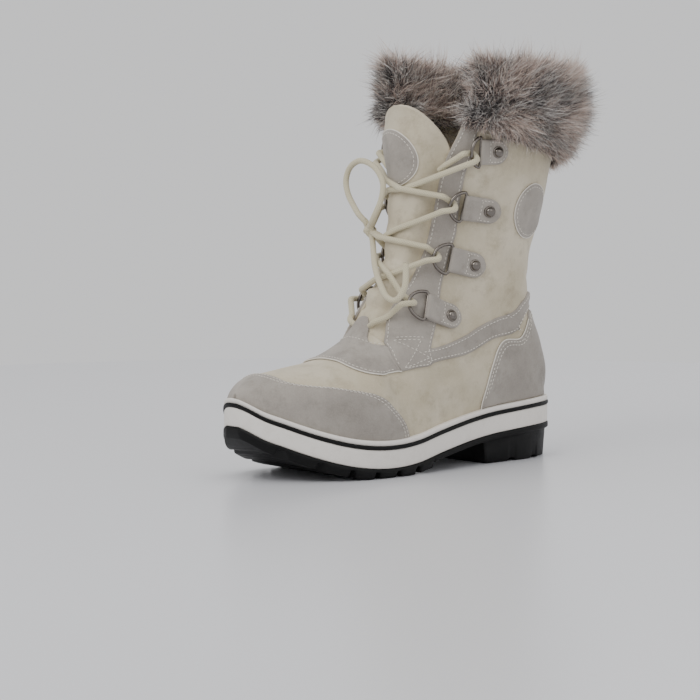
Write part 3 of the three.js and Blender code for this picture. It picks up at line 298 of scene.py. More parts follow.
def section(k, side):
    """The section at station k: end points, centre line, half width and roundness."""
    k = np.asarray(k, float)
    s0, z0, s1, z1, outer, inner, roundness = np.moveaxis(curve(ROWS, k), -1, 0)
    on_foot = k <= FOOT_END
    q = feather_q(s0)
    z0 = np.where(on_foot, feather_z(s0), z0)
    centre = np.where(on_foot, centre_line(q), 0.0)
    foot = np.where(k < FOOT_END, half_width(side, q, -FEATHER_INSET), 0.0)
    width = np.maximum(np.where(np.asarray(side) > 0, outer, inner), foot + 1e-6)
    start = np.arcsin(np.clip(foot / width, 0, 1) ** (roundness / 2))
    return s0, z0, s1, z1, centre, width, roundness, start


def power(v, e):
    return np.sign(v) * np.abs(v) ** e


def base(k, v):
    """Surface point. v runs 0 to 1 up the outer side to the ridge, then to 2 down the inner side."""
    k, v = np.broadcast_arrays(np.asarray(k, float), np.mod(np.asarray(v, float), 2.0))
    side = np.where(v <= 1, 1, -1)
    share = np.where(v <= 1, v, 2 - v)
    s0, z0, s1, z1, centre, width, n, start = section(k, side)
    angle = start + (np.pi - start) * share
    top = np.cos(start) ** (2 / n)
    along = (top - power(np.cos(angle), 2 / n)) / (top + 1)
    out = width * np.abs(np.sin(angle)) ** (2 / n)
    return world(centre + side * out, s0 + (s1 - s0) * along, z0 + (z1 - z0) * along)


def v_of(k, along, side=1):
    """v of a share along the section, which the seam tables use."""
    k, along = np.broadcast_arrays(np.asarray(k, float), np.clip(np.asarray(along, float), 0, 1))
    n, start = section(k, np.full(k.shape, side))[6:]
    top = np.cos(start) ** (2 / n)
    angle = np.arccos(np.clip(power(top - along * (top + 1), n / 2), -1, 1))
    v = np.clip((angle - start) / (np.pi - start), 0, 1)
    return v if side > 0 else 2 - v


def normal(k, v):
    k = np.clip(np.asarray(k, float), 0.12, len(STATIONS) - 1.05)
    v = np.asarray(v, float)
    dk, dv = 0.04, 0.012
    low = np.where((k < FOOT_END) & (np.mod(v, 2) < dv), 0, dv)
    high = np.where((k < FOOT_END) & (np.mod(v, 2) > 2 - dv), 0, dv)
    a = base(k + dk, v) - base(k - dk, v)
    b = base(k, v + high) - base(k, v - low)
    n = np.cross(a, b)
    return n / np.maximum(np.linalg.norm(n, axis=-1, keepdims=True), 1e-9)


def locate(s, z, bounded=True):
    """Station and share along it of a side-view place."""
    s, z = np.asarray(s, float), np.asarray(z, float)
    low = np.full(s.shape, 4.0)
    high = np.full(s.shape, len(STATIONS) - 1.0)

    def across(k):
        s0, z0, s1, z1 = section(k, np.ones(s.shape))[:4]
        return (s1 - s0) * (z - z0) - (z1 - z0) * (s - s0)

    sign = np.sign(across(low))
    for _ in range(30):
        mid = (low + high) / 2
        same = np.sign(across(mid)) == sign
        low, high = np.where(same, mid, low), np.where(same, high, mid)
    s0, z0, s1, z1 = section(low, np.ones(s.shape))[:4]
    run = (s1 - s0) ** 2 + (z1 - z0) ** 2
    along = ((s - s0) * (s1 - s0) + (z - z0) * (z1 - z0)) / run
    return low, np.clip(along, 0, 1) if bounded else along


def side_place(k, along):
    s0, z0, s1, z1 = section(k, 1)[:4]
    return s0 + (s1 - s0) * along, z0 + (z1 - z0) * along


# Creases of the leather: share of length, height share of the leg, angle, half length, half width,
# depth (minus is a trough), and side: 1 outer, -1 inner, 0 both
CREASES = [
    (0.040, 0.42, 8, 26, 4.0, -1.3, 0),
    (0.060, 0.475, 5, 24, 4.5, 1.0, 0),
    (0.070, 0.53, -4, 20, 3.5, -0.9, 0),
    (0.160, 0.455, 12, 22, 5.0, -0.8, 1),
    (0.200, 0.50, 18, 18, 4.5, 0.7, 1),
    (0.330, 0.385, 30, 17, 4.0, -0.8, 0),
    (0.300, 0.43, 24, 15, 4.0, 0.6, 0),
    (0.420, 0.265, -16, 24, 4.5, -0.8, 0),
    (0.470, 0.225, -20, 22, 4.0, 0.7, 0),
    (0.520, 0.190, -24, 22, 4.5, -0.7, 0),
    (0.640, 0.250, 60, 15, 3.5, -0.8, 0),
    (0.680, 0.225, 64, 15, 4.0, 0.6, 0),
    (0.720, 0.205, 68, 15, 3.5, -0.7, 0),
    (0.780, 0.190, 74, 13, 4.0, 0.4, 0),
    (0.330, 0.70, 78, 26, 5.0, -0.7, 1),
    (0.260, 0.66, 84, 22, 5.0, 0.6, 1),
    (0.150, 0.80, -70, 24, 6.0, -0.6, 1),
    (0.100, 0.66, 76, 26, 6.0, 0.6, 0),
    (0.240, 0.86, 10, 20, 5.0, -0.6, 0),
    (0.310, 0.22, 40, 18, 5.0, -0.7, -1),
]
# Slow unevenness of the leather: direction, wave length, phase
WAVES = [(RNG.normal(size=3), RNG.uniform(17, 60), RNG.uniform(0, 6.3)) for _ in range(14)]


def drape(p):
    """How far the leather stands off the last, in creases and a slow unevenness."""
    s, z = HALF - p[..., 1], p[..., 2]
    side = np.sign(p[..., 0])
    out = np.zeros(s.shape)
    for cs, cz, turn, half_length, half_wide, depth, which in CREASES:
        ds, dz = s - cs * LENGTH, z - cz * (BACK_HEIGHT + feather_z(0))
        c, d = math.cos(math.radians(turn)), math.sin(math.radians(turn))
        along, off = ds * c + dz * d, dz * c - ds * d
        off = off + 0.012 * along**2 * np.sign(depth)
        size = np.exp(-((off / half_wide) ** 2)) * np.exp(-((along / half_length) ** 4))
        out = out + depth * size * (1.0 if which == 0 else np.where(side == which, 1.0, 0.0))
    for direction, length, phase in WAVES:
        d = direction / np.linalg.norm(direction)
        out = out + 0.085 * np.sin((p @ d) * 2 * np.pi / length + phase)
    return out


def skin(k, v, off=0.0):
    """Point of the leather at an offset from the last, creases included."""
    p = base(k, v)
    return p + normal(k, v) * (np.asarray(off, float) + drape(p))[..., None]


def unit(v):
    return v / np.linalg.norm(v, axis=-1, keepdims=True)


# Mesh helpers
midsole_tip = max(frame["nodes"]["midsole"].data.vertices, key=lambda vert: vert.co.y).co
SHIFT = np.array([midsole_tip.x / MM, midsole_tip.y / MM - HALF, 0.0])


def add_object(name, data):
    obj = bpy.data.objects.new(name, data)
    bpy.context.scene.collection.objects.link(obj)
    return obj


def make_mesh(name, verts, faces, uv=None):
    """A mesh object from millimetre points of the shape functions."""
    verts = (np.asarray(verts, float).reshape(-1, 3) + SHIFT) * MM
    mesh = bpy.data.meshes.new(name)
    faces = [tuple(int(i) for i in dict.fromkeys(f)) for f in faces]
    mesh.from_pydata([tuple(p) for p in verts], [], [f for f in faces if len(f) > 2])
    if uv is not None:
        layer = mesh.uv_layers.new(name="UVMap")
        index = np.empty(len(mesh.loops), np.int32)
        mesh.loops.foreach_get("vertex_index", index)
        layer.data.foreach_set("uv", np.asarray(uv, np.float32)[index].ravel())
    mesh.polygons.foreach_set("use_smooth", [True] * len(mesh.polygons))
    return add_object(name, mesh)


def weld(obj, distance=2e-6):
    bm = bmesh.new()
    bm.from_mesh(obj.data)
    bmesh.ops.remove_doubles(bm, verts=bm.verts, dist=distance)
    bmesh.ops.dissolve_degenerate(bm, dist=distance, edges=bm.edges)
    bmesh.ops.recalc_face_normals(bm, faces=bm.faces)
    bm.to_mesh(obj.data)
    bm.free()
    return obj


def grid_faces(rows, cols, start=0, wrap=False):
    faces = []
    for i in range(rows - 1):
        for j in range(cols if wrap else cols - 1):
            a, b = start + i * cols + j, start + i * cols + (j + 1) % cols
            faces.append((a, b, b + cols, a + cols))
    return faces


def shell(name, outer, inner):
    """A closed sheet from two grids of points, joined round their borders."""
    rows, cols = outer.shape[:2]
    verts = np.concatenate([outer.reshape(-1, 3), inner.reshape(-1, 3)])
    n = rows * cols
    faces = grid_faces(rows, cols) + [f[::-1] for f in grid_faces(rows, cols, n)]
    loop = [*range(cols), *(i * cols + cols - 1 for i in range(1, rows))]
    loop += [(rows - 1) * cols + j for j in range(cols - 2, -1, -1)]
    loop += [i * cols for i in range(rows - 2, 0, -1)]
    for a, b in zip(loop, loop[1:] + loop[:1]):
        faces.append((b, a, a + n, b + n))
    return weld(make_mesh(name, verts, faces))


def ease(x):
    x = np.clip(x, 0, 1)
    return x * x * (3 - 2 * x)


def spaced(total, step, rim=(0, 0.12, 0.35, 0.8, 1.5)):
    """Distances over a length: close together at both ends, then evenly."""
    rim = [r for r in rim if r < total * 0.4]
    count = max(2, int(round((total - 2 * rim[-1]) / step)))
    middle = np.linspace(rim[-1], total - rim[-1], count + 1)
    return np.concatenate([rim[:-1], middle, [total - r for r in rim[:-1]][::-1]])


def through(points, steps=12):
    """A smooth line through seam points."""
    p = np.asarray(points, float)
    run = np.concatenate([[0], np.cumsum(np.linalg.norm(np.diff(p, axis=0) * [1, 9], axis=1))])
    table = np.column_stack([run, p])
    return curve(table, np.linspace(0, run[-1], steps * (len(p) - 1) + 1))


def through_side(places, steps=140):
    """A smooth line through places of the side view, kept where it is on the shoe."""
    s, z = side_place(*np.array(places, float).T)
    run = np.concatenate([[0], np.cumsum(np.hypot(np.diff(s), np.diff(z)))])
    at = np.linspace(0, run[-1], steps * (len(places) - 1) + 1)
    s, z = curve(np.column_stack([run, s, z]), at).T
    k, along = locate(s, z, bounded=False)
    return np.column_stack([k, along])[(along >= 0) & (along <= 1)]


def clip_line(line, count=900):
    """The part of a line of (station, share) that is on the shoe, its share from 0 to 1."""
    fine = at_run(np.linspace(0, len(line) - 1, count), np.arange(len(line)), line)
    return fine[(fine[:, 1] >= -1e-9) & (fine[:, 1] <= 1 + 1e-9)]


def to_v(line, side=1):
    return np.column_stack([line[:, 0], v_of(line[:, 0], line[:, 1], side)])


def mirrored(line):
    """A line of (station, v) up to the ridge, and back down the other side."""
    back = line[::-1].copy()
    back[:, 1] = 2 - back[:, 1]
    return np.concatenate([line, back])


def round_heel(line):
    """A line of (station, v) to the back of the heel, and forward again on the other side."""
    line = np.vstack([line, [line[-1, 0] + 0.02, 0.0]])
    back = line[-2::-1].copy()
    back[:, 1] = -back[:, 1]
    return np.concatenate([line, back])


def v_line(*places, steps=14):
    """A smooth line through places of (station, v)."""
    p = np.asarray(places, float)
    run = run_along(base(p[:, 0], p[:, 1]))
    return curve(np.column_stack([run, p]), np.linspace(0, run[-1], steps * (len(p) - 1) + 1))


def resample(line, count_or_shares):
    """A (station, v) line at equal steps of its length on the surface."""
    run = run_along(base(line[:, 0], line[:, 1]))
    shares = np.linspace(0, 1, count_or_shares) if np.isscalar(count_or_shares) else count_or_shares
    return at_run(shares * run[-1], run, line), run[-1]


class Panel:
    """A leather overlay between two edge lines of (station, v), cut, rounded and laid on the skin."""

    def __init__(self, name, first, second, step=2.0, ends=(True, True), top=OVER, bottom=-0.15, rim=1.1):
        length = max(resample(first, 2)[1], resample(second, 2)[1])
        shares = spaced(length, step) / length
        a, _ = resample(first, shares)
        b, _ = resample(second, shares)
        fine = np.linspace(0, 1, 90)[None, :, None]
        self.cross = a[:, None] * (1 - fine) + b[:, None] * fine
        self.run = run_grid(base(self.cross[..., 0], self.cross[..., 1]), 1)
        widest = self.run[:, -1].max()
        across = spaced(widest, step) / widest
        kv = np.array([at_run(across * run[-1], run, row) for row, run in zip(self.cross, self.run)])
        k, v = kv[..., 0], kv[..., 1]
        flat = base(k, v)
        from_first, from_start = run_grid(flat, 1), run_grid(flat, 0)
        edge = np.minimum(from_first, from_first[:, -1:] - from_first)
        if ends[0]:
            edge = np.minimum(edge, from_start)
        if ends[1]:
            edge = np.minimum(edge, from_start[-1:] - from_start)
        u = np.clip(edge / rim, 0, 1)
        height = bottom + 0.25 + (top - bottom - 0.25) * np.sqrt(1 - (1 - u) ** 2)
        self.obj = shell(name, skin(k, v, height), skin(k, v, bottom))

    def line(self, inset, from_second=False, trim=(0.0, 0.0)):
        """A line of (station, v) at a distance inside one edge, left out where the panel is narrow."""
        out = []
        for row, run in zip(self.cross, self.run):
            if run[-1] >= 2.2 * inset:
                at = run[-1] - inset if from_second else inset
                out.append([np.interp(at, run, c) for c in row.T])
        line = np.array(out)
        _, length = resample(line, 2)
        shares = np.linspace(trim[0] / length, 1 - trim[1] / length, max(20, int(length / 1.5)))
        return resample(line, shares)[0]


# Materials
def hex_linear(text):
    out = []
    for i in (0, 2, 4):
        c = int(text[i:i + 2], 16) / 255
        out.append(c / 12.92 if c <= 0.04045 else ((c + 0.055) / 1.055) ** 2.4)
    return (*out, 1.0)


class Nodes:
    """Short calls for a material's node tree."""

    def __init__(self, name):
        self.material = bpy.data.materials.new(name)
        self.material.use_nodes = True
        self.tree = self.material.node_tree
        self.shader = self.tree.nodes["Principled BSDF"]
        self.place = self.add("ShaderNodeTexCoord").outputs["Object"]

    def add(self, kind, inputs=None, **settings):
        node = self.tree.nodes.new(kind)
        for key, value in settings.items():
            setattr(node, key, value)
        for key, value in (inputs or {}).items():
            if isinstance(value, bpy.types.NodeSocket):
                self.tree.links.new(value, node.inputs[key])
            else:
                node.inputs[key].default_value = value
        return node

    def noise(self, scale, detail, roughness):
        inputs = {"Scale": scale, "Detail": detail, "Roughness": roughness, "Vector": self.place}
        return self.add("ShaderNodeTexNoise", inputs).outputs["Fac"]

    def mix(self, factor, a, b):
        node = self.add("ShaderNodeMix", data_type="RGBA")
        for socket, value in ((node.inputs[0], factor), (node.inputs[6], a), (node.inputs[7], b)):
            if isinstance(value, bpy.types.NodeSocket):
                self.tree.links.new(value, socket)
            else:
                socket.default_value = value
        return node.outputs[2]

    def ramp(self, factor, *stops):
        node = self.add("ShaderNodeValToRGB", {"Fac": factor})
        elements = node.color_ramp.elements
        while len(elements) < len(stops):
            elements.new(0.5)
        for element, (place, color) in zip(elements, stops):
            element.position = place
            element.color = color if len(color) == 4 else (*color, 1)
        return node.outputs["Color"]

    def patches(self, scale, detail, roughness, low, high):
        """Noise with its middle stretched from black at low to white at high."""
        return self.ramp(self.noise(scale, detail, roughness), (low, (0, 0, 0)), (high, (1, 1, 1)))

    def math(self, operation, a, b=0.0):
        return self.add("ShaderNodeMath", {0: a, 1: b}, operation=operation).outputs[0]

    def cover(self, mask, amount, color, tint):
        """A colour covered by a tint where a mask is white."""
        return self.mix(self.math("MULTIPLY", mask, amount), color, tint)

    def spread(self, value, low, high):
        return self.add("ShaderNodeMapRange", {"Value": value, "To Min": low, "To Max": high}).outputs[0]

    def bump(self, height, strength, distance, below=None):
        inputs = {"Height": height, "Strength": strength, "Distance": distance}
        if below is not None:
            inputs["Normal"] = below
        return self.add("ShaderNodeBump", inputs).outputs["Normal"]

    def set(self, **values):
        for key, value in values.items():
            socket = self.shader.inputs[key.replace("_", " ").title() if key != "ior" else "IOR"]
            if isinstance(value, bpy.types.NodeSocket):
                self.tree.links.new(value, socket)
            else:
                socket.default_value = value
        return self.material


def leather(name, *tints, roughness=0.78, grain=0.10):
    """Brushed leather in a light, a main, a dark and a scuffed tint: cloudy, with nap and worn patches."""
    light_tint, main, dark, scuff = map(hex_linear, tints)
    n = Nodes(name)
    color = n.mix(n.patches(24, 5, 0.6, 0.38, 0.62), main, light_tint)
    color = n.cover(n.patches(70, 6, 0.7, 0.50, 0.68), 0.6, color, dark)
    color = n.cover(n.patches(9, 3, 0.5, 0.42, 0.62), 0.3, color, dark)
    color = n.cover(n.patches(900, 3, 0.6, 0.40, 0.62), 0.12, color, scuff)
    color = n.cover(n.patches(160, 6, 0.75, 0.60, 0.74), 0.25, color, scuff)
    rough = n.spread(n.noise(900, 3, 0.6), roughness - 0.08, roughness + 0.1)
    fine = n.bump(n.noise(1900, 4, 0.7), grain, 0.0006)
    pores = n.bump(n.noise(420, 5, 0.6), 0.16, 0.0012, fine)
    soft = n.bump(n.noise(60, 3, 0.5), 0.18, 0.004, pores)
    n.shader.inputs["Sheen Weight"].default_value = 0.15
    n.shader.inputs["Sheen Roughness"].default_value = 0.5
    return n.set(base_color=color, roughness=rough, normal=soft)


def rubber(name, color, dull, roughness, bump, specular):
    n = Nodes(name)
    n.shader.inputs["Specular IOR Level"].default_value = specular
    mixed = n.cover(n.patches(120, 6, 0.7, 0.48, 0.75), 0.3, hex_linear(color), hex_linear(dull))
    fine = n.bump(n.noise(1500, 3, 0.6), bump, 0.0005)
    wave = n.bump(n.noise(90, 3, 0.5), 0.05, 0.002, fine)
    rough = n.spread(n.noise(200, 4, 0.6), roughness - 0.08, roughness + 0.1)
    return n.set(base_color=mixed, roughness=rough, normal=wave)


def metal(name, color, worn):
    n = Nodes(name)
    tint = n.cover(n.patches(350, 5, 0.7, 0.45, 0.7), 0.5, hex_linear(color), hex_linear(worn))
    rough = n.spread(n.noise(600, 4, 0.6), 0.10, 0.24)
    fine = n.bump(n.noise(1200, 3, 0.6), 0.06, 0.0003)
    n.shader.inputs["Metallic"].default_value = 1.0
    return n.set(base_color=tint, roughness=rough, normal=fine)


def braid(name, color, shade, yarn_pitch=1.9, yarns=7):
    """A round braided lace: two crossing sets of yarns, from the tube's own UV in millimetres and turns."""
    color, shade = hex_linear(color), hex_linear(shade)
    n = Nodes(name)
    uv = n.add("ShaderNodeUVMap", uv_map="UVMap").outputs["UV"]
    parts = n.add("ShaderNodeSeparateXYZ", {0: uv})
    along = n.math("MULTIPLY", parts.outputs[0], 2 * math.pi / yarn_pitch)
    around = n.math("MULTIPLY", parts.outputs[1], 2 * math.pi * yarns)
    one = n.math("SINE", n.math("ADD", along, around))
    two = n.math("SINE", n.math("SUBTRACT", along, around))
    yarn = n.math("MULTIPLY", n.math("ADD", n.math("MAXIMUM", one, two), 1.0), 0.5)
    # Painted shade: the colour runs to the darker tone in the grooves between the yarns and stays light on
    # their crowns
    tint = n.mix(n.ramp(yarn, (0.2, (0.4, 0.4, 0.4)), (0.75, (1, 1, 1))), shade, color)
    tint = n.cover(n.noise(180, 4, 0.6), 0.22, tint, shade)
    weave = n.bump(yarn, 0.32, 0.0005)
    fuzz = n.bump(n.noise(2400, 3, 0.7), 0.25, 0.0004, weave)
    n.shader.inputs["Sheen Weight"].default_value = 0.25
    return n.set(base_color=tint, roughness=0.85, normal=fuzz)


def thread(name, color, shade):
    n = Nodes(name)
    tint = n.mix(n.noise(500, 3, 0.5), hex_linear(color), hex_linear(shade))
    fine = n.bump(n.noise(3000, 2, 0.6), 0.3, 0.0003)
    return n.set(base_color=tint, roughness=0.8, normal=fine)


def fur_material(name, shade):
    """Hair colour comes with each hair: along it from root to tip, and by tuft."""
    n = Nodes(name)
    color = n.add("ShaderNodeVertexColor", layer_name="hair").outputs["Color"]
    tint = n.cover(n.noise(400, 3, 0.6), 0.2, color, hex_linear(shade))
    n.shader.inputs["Sheen Weight"].default_value = 0.1
    return n.set(base_color=tint, roughness=0.62)


def pile(name, color, dark):
    n = Nodes(name)
    tint = n.mix(n.patches(700, 5, 0.7, 0.35, 0.7), hex_linear(dark), hex_linear(color))
    fuzz = n.bump(n.noise(1300, 5, 0.8), 0.9, 0.0014)
    n.shader.inputs["Sheen Weight"].default_value = 0.3
    return n.set(base_color=tint, roughness=0.95, normal=fuzz)


CREAM = leather("cream_nubuck", "d0c6b0", "bfb49b", "a0947b", "dcd5c3")
GREY = leather("grey_nubuck", "a8a198", "948d85", "7f7971", "c0b9b0")
WHITE = rubber("white_rubber", "e6e1da", "c3bcb2", 0.55, 0.12, 0.5)
BLACK = rubber("black_rubber", "070707", "171615", 0.5, 0.15, 0.22)
METAL = metal("gunmetal", "77716c", "8c857c")
CORD = braid("braided_lace", "cfc7ac", "a89e82")
THREAD = thread("pale_thread", "e6e2da", "d8d2c6")
HAIR = fur_material("fur_hair", "2a2423")
LINING = pile("lining_pile", "b9b1a3", "8a8378")
UNDERFUR = pile("underfur", "4a4140", "1d1919")


def dress(obj, material, slot, *nodes):
    obj.data.materials.clear()
    obj.data.materials.append(material)
    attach(obj, "root")
    if nodes:
        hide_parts(*nodes)
    return obj


# Camera at the photograph's angle
CAMERA_AZIMUTH, CAMERA_ELEVATION, CAMERA_DISTANCE = 50.0, 4.8, 2.0
CAMERA_TARGET = np.array([-26.8, -19.7, 83.0])
FOCAL_PIXELS, PICTURE = 2770.0, 700.0


def toward(azimuth, elevation):
    """Direction from the shoe to a place round it, in degrees."""
    a, e = math.radians(azimuth), math.radians(elevation)
    return Vector((math.sin(a) * math.cos(e), -math.cos(a) * math.cos(e), math.sin(e)))


def make_camera():
    data = bpy.data.cameras.new("camera")
    camera = add_object("camera", data)
    back = toward(CAMERA_AZIMUTH, CAMERA_ELEVATION)
    target = Vector((CAMERA_TARGET + SHIFT) * MM)
    camera.location = target + back * CAMERA_DISTANCE
    camera.rotation_mode = "QUATERNION"
    camera.rotation_quaternion = (-back).to_track_quat("-Z", "Y")
    data.sensor_width = 36.0
    data.lens = FOCAL_PIXELS / PICTURE * data.sensor_width
    data.clip_start, data.clip_end = 0.05, 50
    bpy.context.scene.camera = camera


make_camera()


# Lace tubes
def between(u, low, high, first, last):
    return (high - u) / (high - low) * first + (u - low) / (high - low) * last


def spline(points, step):
    """Points at equal steps on a centripetal curve through the given ones."""
    p = np.asarray(points, float)
    ends = np.vstack([2 * p[0] - p[1], p, 2 * p[-1] - p[-2]])
    out = [p[0]]
    for i in range(1, len(ends) - 2):
        q = ends[i - 1:i + 3]
        gap = np.maximum(np.linalg.norm(np.diff(q, axis=0), axis=1), 1e-6)
        t = np.concatenate([[0], np.cumsum(gap ** 0.5)])
        u = np.linspace(t[1], t[2], 25)[1:, None]
        a = [between(u, t[j], t[j + 1], q[j], q[j + 1]) for j in range(3)]
        b = [between(u, t[j], t[j + 2], a[j], a[j + 1]) for j in range(2)]
        out.extend(between(u, t[1], t[2], *b))
    line = np.array(out)
    run = run_along(line)
    count = max(4, int(round(run[-1] / step)) + 1)
    return at_run(np.linspace(0, run[-1], count), run, line)


def tube_arrays(line, radius, sides=14):
    """Vertices, faces and UV of a round tube along a line, with low tips."""
    count = len(line)
    tangent = np.gradient(line, axis=0)
    tangent /= np.linalg.norm(tangent, axis=1, keepdims=True)
    side = np.cross(tangent[0], [0.3, 0.2, 1.0])
    side /= np.linalg.norm(side)
    run = run_along(line)
    verts, uv = [], []
    angles = np.linspace(0, 2 * np.pi, sides + 1)
    for i in range(count):
        side = side - tangent[i] * (side @ tangent[i])
        side /= np.linalg.norm(side)
        other = np.cross(tangent[i], side)
        ring = np.cos(angles)[:, None] * side + np.sin(angles)[:, None] * other
        verts.append(line[i] + radius * ring)
        uv.append(np.column_stack([np.full(sides + 1, run[i]), angles / (2 * np.pi)]))
    verts, uv = np.concatenate(verts), np.concatenate(uv)
    faces = [f[::-1] for f in grid_faces(count, sides + 1)]
    for at, turn in ((0, 1), (count - 1, -1)):
        tip = len(verts)
        verts = np.vstack([verts, line[at] - turn * tangent[at] * radius * 0.35])
        uv = np.vstack([uv, [run[at], 0.5]])
        first = at * (sides + 1)
        for j in range(sides):
            pair = (first + j, first + j + 1)
            faces.append((tip, *(pair[::-1] if turn > 0 else pair)))
    return verts, faces, uv


def join_arrays(parts):
    verts, faces, uvs, start = [], [], [], 0
    for v, f, uv in parts:
        verts.append(v)
        uvs.append(uv)
        faces.extend(tuple(i + start for i in face) for face in f)
        start += len(v)
    return np.concatenate(verts), faces, np.concatenate(uvs)


BOW = [
    (-23.0, -8.0, 175.2), (-28.0, -10.0, 180.2), (-37.0, -8.0, 187.0), (-45.0, -6.5, 195.5),
    (-48.8, -5.0, 204.8), (-45.8, -4.0, 213.7), (-36.2, -3.5, 218.9), (-25.0, -3.5, 217.5),
    (-14.5, -4.0, 211.9), (-7.6, -5.0, 202.7), (-7.4, -7.0, 191.3), (-11.0, -9.5, 181.0),
    (-17.0, -8.7, 173.6),
]
END = [
    (-18.4, -5.8, 163.6), (-14.2, -8.5, 157.0), (-3.8, -16.0, 145.2), (12.3, -25.0, 133.3),
    (28.1, -31.0, 123.8), (37.2, -31.0, 122.9), (41.0, -27.0, 131.0), (37.5, -22.5, 148.4),
]


LACE_STEP = 0.9


def free_lace(name, points, node):
    line = spline(points, LACE_STEP)
    obj = make_mesh(name, *tube_arrays(line, LACE / 2, 16))
    dress(obj, CORD, "cord", node)


free_lace("bow_loop", BOW, "lace_bow")
free_lace("free_end", END, "lace_end")


# Sole
def moulded(name, layers, count=150, closed=False):
    """A ring of rubber: each layer is the outline, grown, at a height over the sole's profile."""
    turn = np.linspace(0, 2 * np.pi, 2 * count, endpoint=False)
    side = np.where(turn <= np.pi, 1, -1)
    q = (1 - np.cos(turn)) / 2
    rows = []
    for grow, height in layers:
        s = -grow + q * (LENGTH + 2 * grow)
        rows.append(world(centre_line(q) + side * half_width(side, q, grow), s, height(s)))
    verts = np.array(rows)
    n = 2 * count
    faces = grid_faces(len(layers), n, wrap=True)
    last = (len(layers) - 1) * n
    if closed:
        faces += [(last + i, last + (i + 1) % n, (i + 1) % n, i) for i in range(n)]
    else:
        for first in (0, last):
            for i in range(count):
                faces.append((first + i, first + i + 1, first + n - i - 1, first + (n - i) % n))
    return weld(make_mesh(name, verts, faces))


def rise(by):
    """A height over the sole's profile, as a function of the place along it."""
    return lambda s: sole_z(s) + by


def bead(centre, half, depth, grow=0.0, steps=7):
    """Layers of a rounded bead on the side of the sole."""
    out = []
    for a in np.linspace(-90, 90, steps):
        r = math.radians(a)
        out.append((grow + depth * (math.cos(r) - 1), rise(centre + half * math.sin(r))))
    return out


groove_top = LOWER_BAND + STRIPE_HEIGHT
midsole_layers = [(grow, rise(by)) for grow, by in (
    (-1.2, 0), (-0.6, 0.05), (-0.2, 0.3), (0, 0.8), (0.05, 3), (0.05, 10), (0, LOWER_BAND - 0.7),
    (-0.25, LOWER_BAND - 0.15), (-0.8, LOWER_BAND), (-1.7, LOWER_BAND + 0.05), (-1.7, groove_top - 0.05),
)]
midsole_layers += bead(groove_top + UPPER_BAND / 2, UPPER_BAND / 2, 1.1, 0.25)
midsole_layers += [(-1.6, rise(BAND + 0.02)), (-FEATHER_INSET - 6, rise(BAND + 0.02))]
dress(moulded("midsole_rubber", midsole_layers), WHITE, "white_rubber", "midsole")
stripe_side = [(-1.6, 0.05), (0.1, 0.1), (0.5, 0.35), (0.7, 0.9)]
stripe_layers = [(grow, rise(LOWER_BAND + by)) for grow, by in stripe_side]
stripe_layers += [(grow, rise(groove_top - by)) for grow, by in stripe_side[::-1]]
dress(moulded("stripe_rubber", stripe_layers, closed=True), BLACK, "black_rubber", "sole_stripe")


def outsole():
    """Plate with a proud rim; its underside carries the lugs and the heel block as one height field."""
    block_end = HEEL_INSET + HEEL_BLOCK_LENGTH
    s_rows = np.concatenate([
        np.linspace(0.35, block_end - 6, 80),
        np.linspace(block_end - 5.4, block_end + 3, 16),
        np.linspace(block_end + 4.5, LENGTH - 0.35, 260),
    ])
    j = np.concatenate([[0], np.linspace(0.05, 0.86, 9), np.linspace(0.875, 1.0, 9)])
    j = np.concatenate([-j[:0:-1], j])
    q = np.clip((s_rows + RIM_OUT) / (LENGTH + 2 * RIM_OUT), 0, 1)[:, None]
    half = half_width(np.where(j >= 0, 1, -1), q, RIM_OUT)
    x = centre_line(q) + j * half
    s = np.broadcast_to(s_rows[:, None], x.shape)
    edge = np.minimum((1 - np.abs(j)) * half, np.minimum(s, LENGTH - s) * 1.2 + 0.3)
    top = sole_z(s) - GAP
    floor_free = np.maximum(0, top - PLATE)
    rounded = 0.9 * (1 - ease(edge / 1.2))
    tip = np.maximum(0, sole_z(s) - BALL_HEIGHT - LUG_FLAT)
    chevron = 7 * np.abs(x) / (BALL_WIDTH / 2)
    past_first_lug = s + chevron - 0.68 * LENGTH + 2.2 * LUG_PITCH
    phase = np.mod(past_first_lug / LUG_PITCH, 1) * LUG_PITCH
    near_groove = np.minimum(phase, LUG_PITCH - phase) - LUG_GROOVE / 2
    scallop = 2.0 * ease(past_first_lug / 3.0) * ease((LUG_GROOVE * 0.75 - near_groove) / (LUG_GROOVE * 1.1))
    scallop = scallop * ease((9.0 - edge) / 4)
    plate = np.minimum(floor_free + scallop, top - 1.2) + rounded
    lug = ease((edge - 0.5) / 1.2) * ease(near_groove / 1.6 + 0.4) * ease(past_first_lug / 1.5)
    sipe = 0.7 * np.exp(-(((near_groove - 4.5) / 0.6) ** 2)) * (edge > 9)
    z = plate + (np.minimum(tip + sipe, plate) - plate) * lug
    block = ease((edge - HEEL_INSET + 0.9) / 1.1) * ease((block_end - s + 2.0) / 4.0)
    groove = 0.0
    for share in (0.34, 0.67):
        at = HEEL_INSET + share * (HEEL_BLOCK_LENGTH - 4)
        groove = groove + HEEL_GROOVE * ease((LUG_GROOVE - np.abs(s - at)) / (LUG_GROOVE / 2))
    ribs = 0.6 * np.exp(-(((np.mod(s - HEEL_INSET, 6.5) - 3.2) / 0.5) ** 2)) * (edge > HEEL_INSET + 7)
    z = z + (np.minimum(groove + ribs, z) - z) * block
    bottom = world(x, s, z)
    upper = world(x, s, np.broadcast_to(top - 0.4 * (1 - ease(edge / 0.7)), x.shape))
    return shell("outsole_rubber", upper, bottom)


dress(outsole(), BLACK, "black_rubber", "outsole")


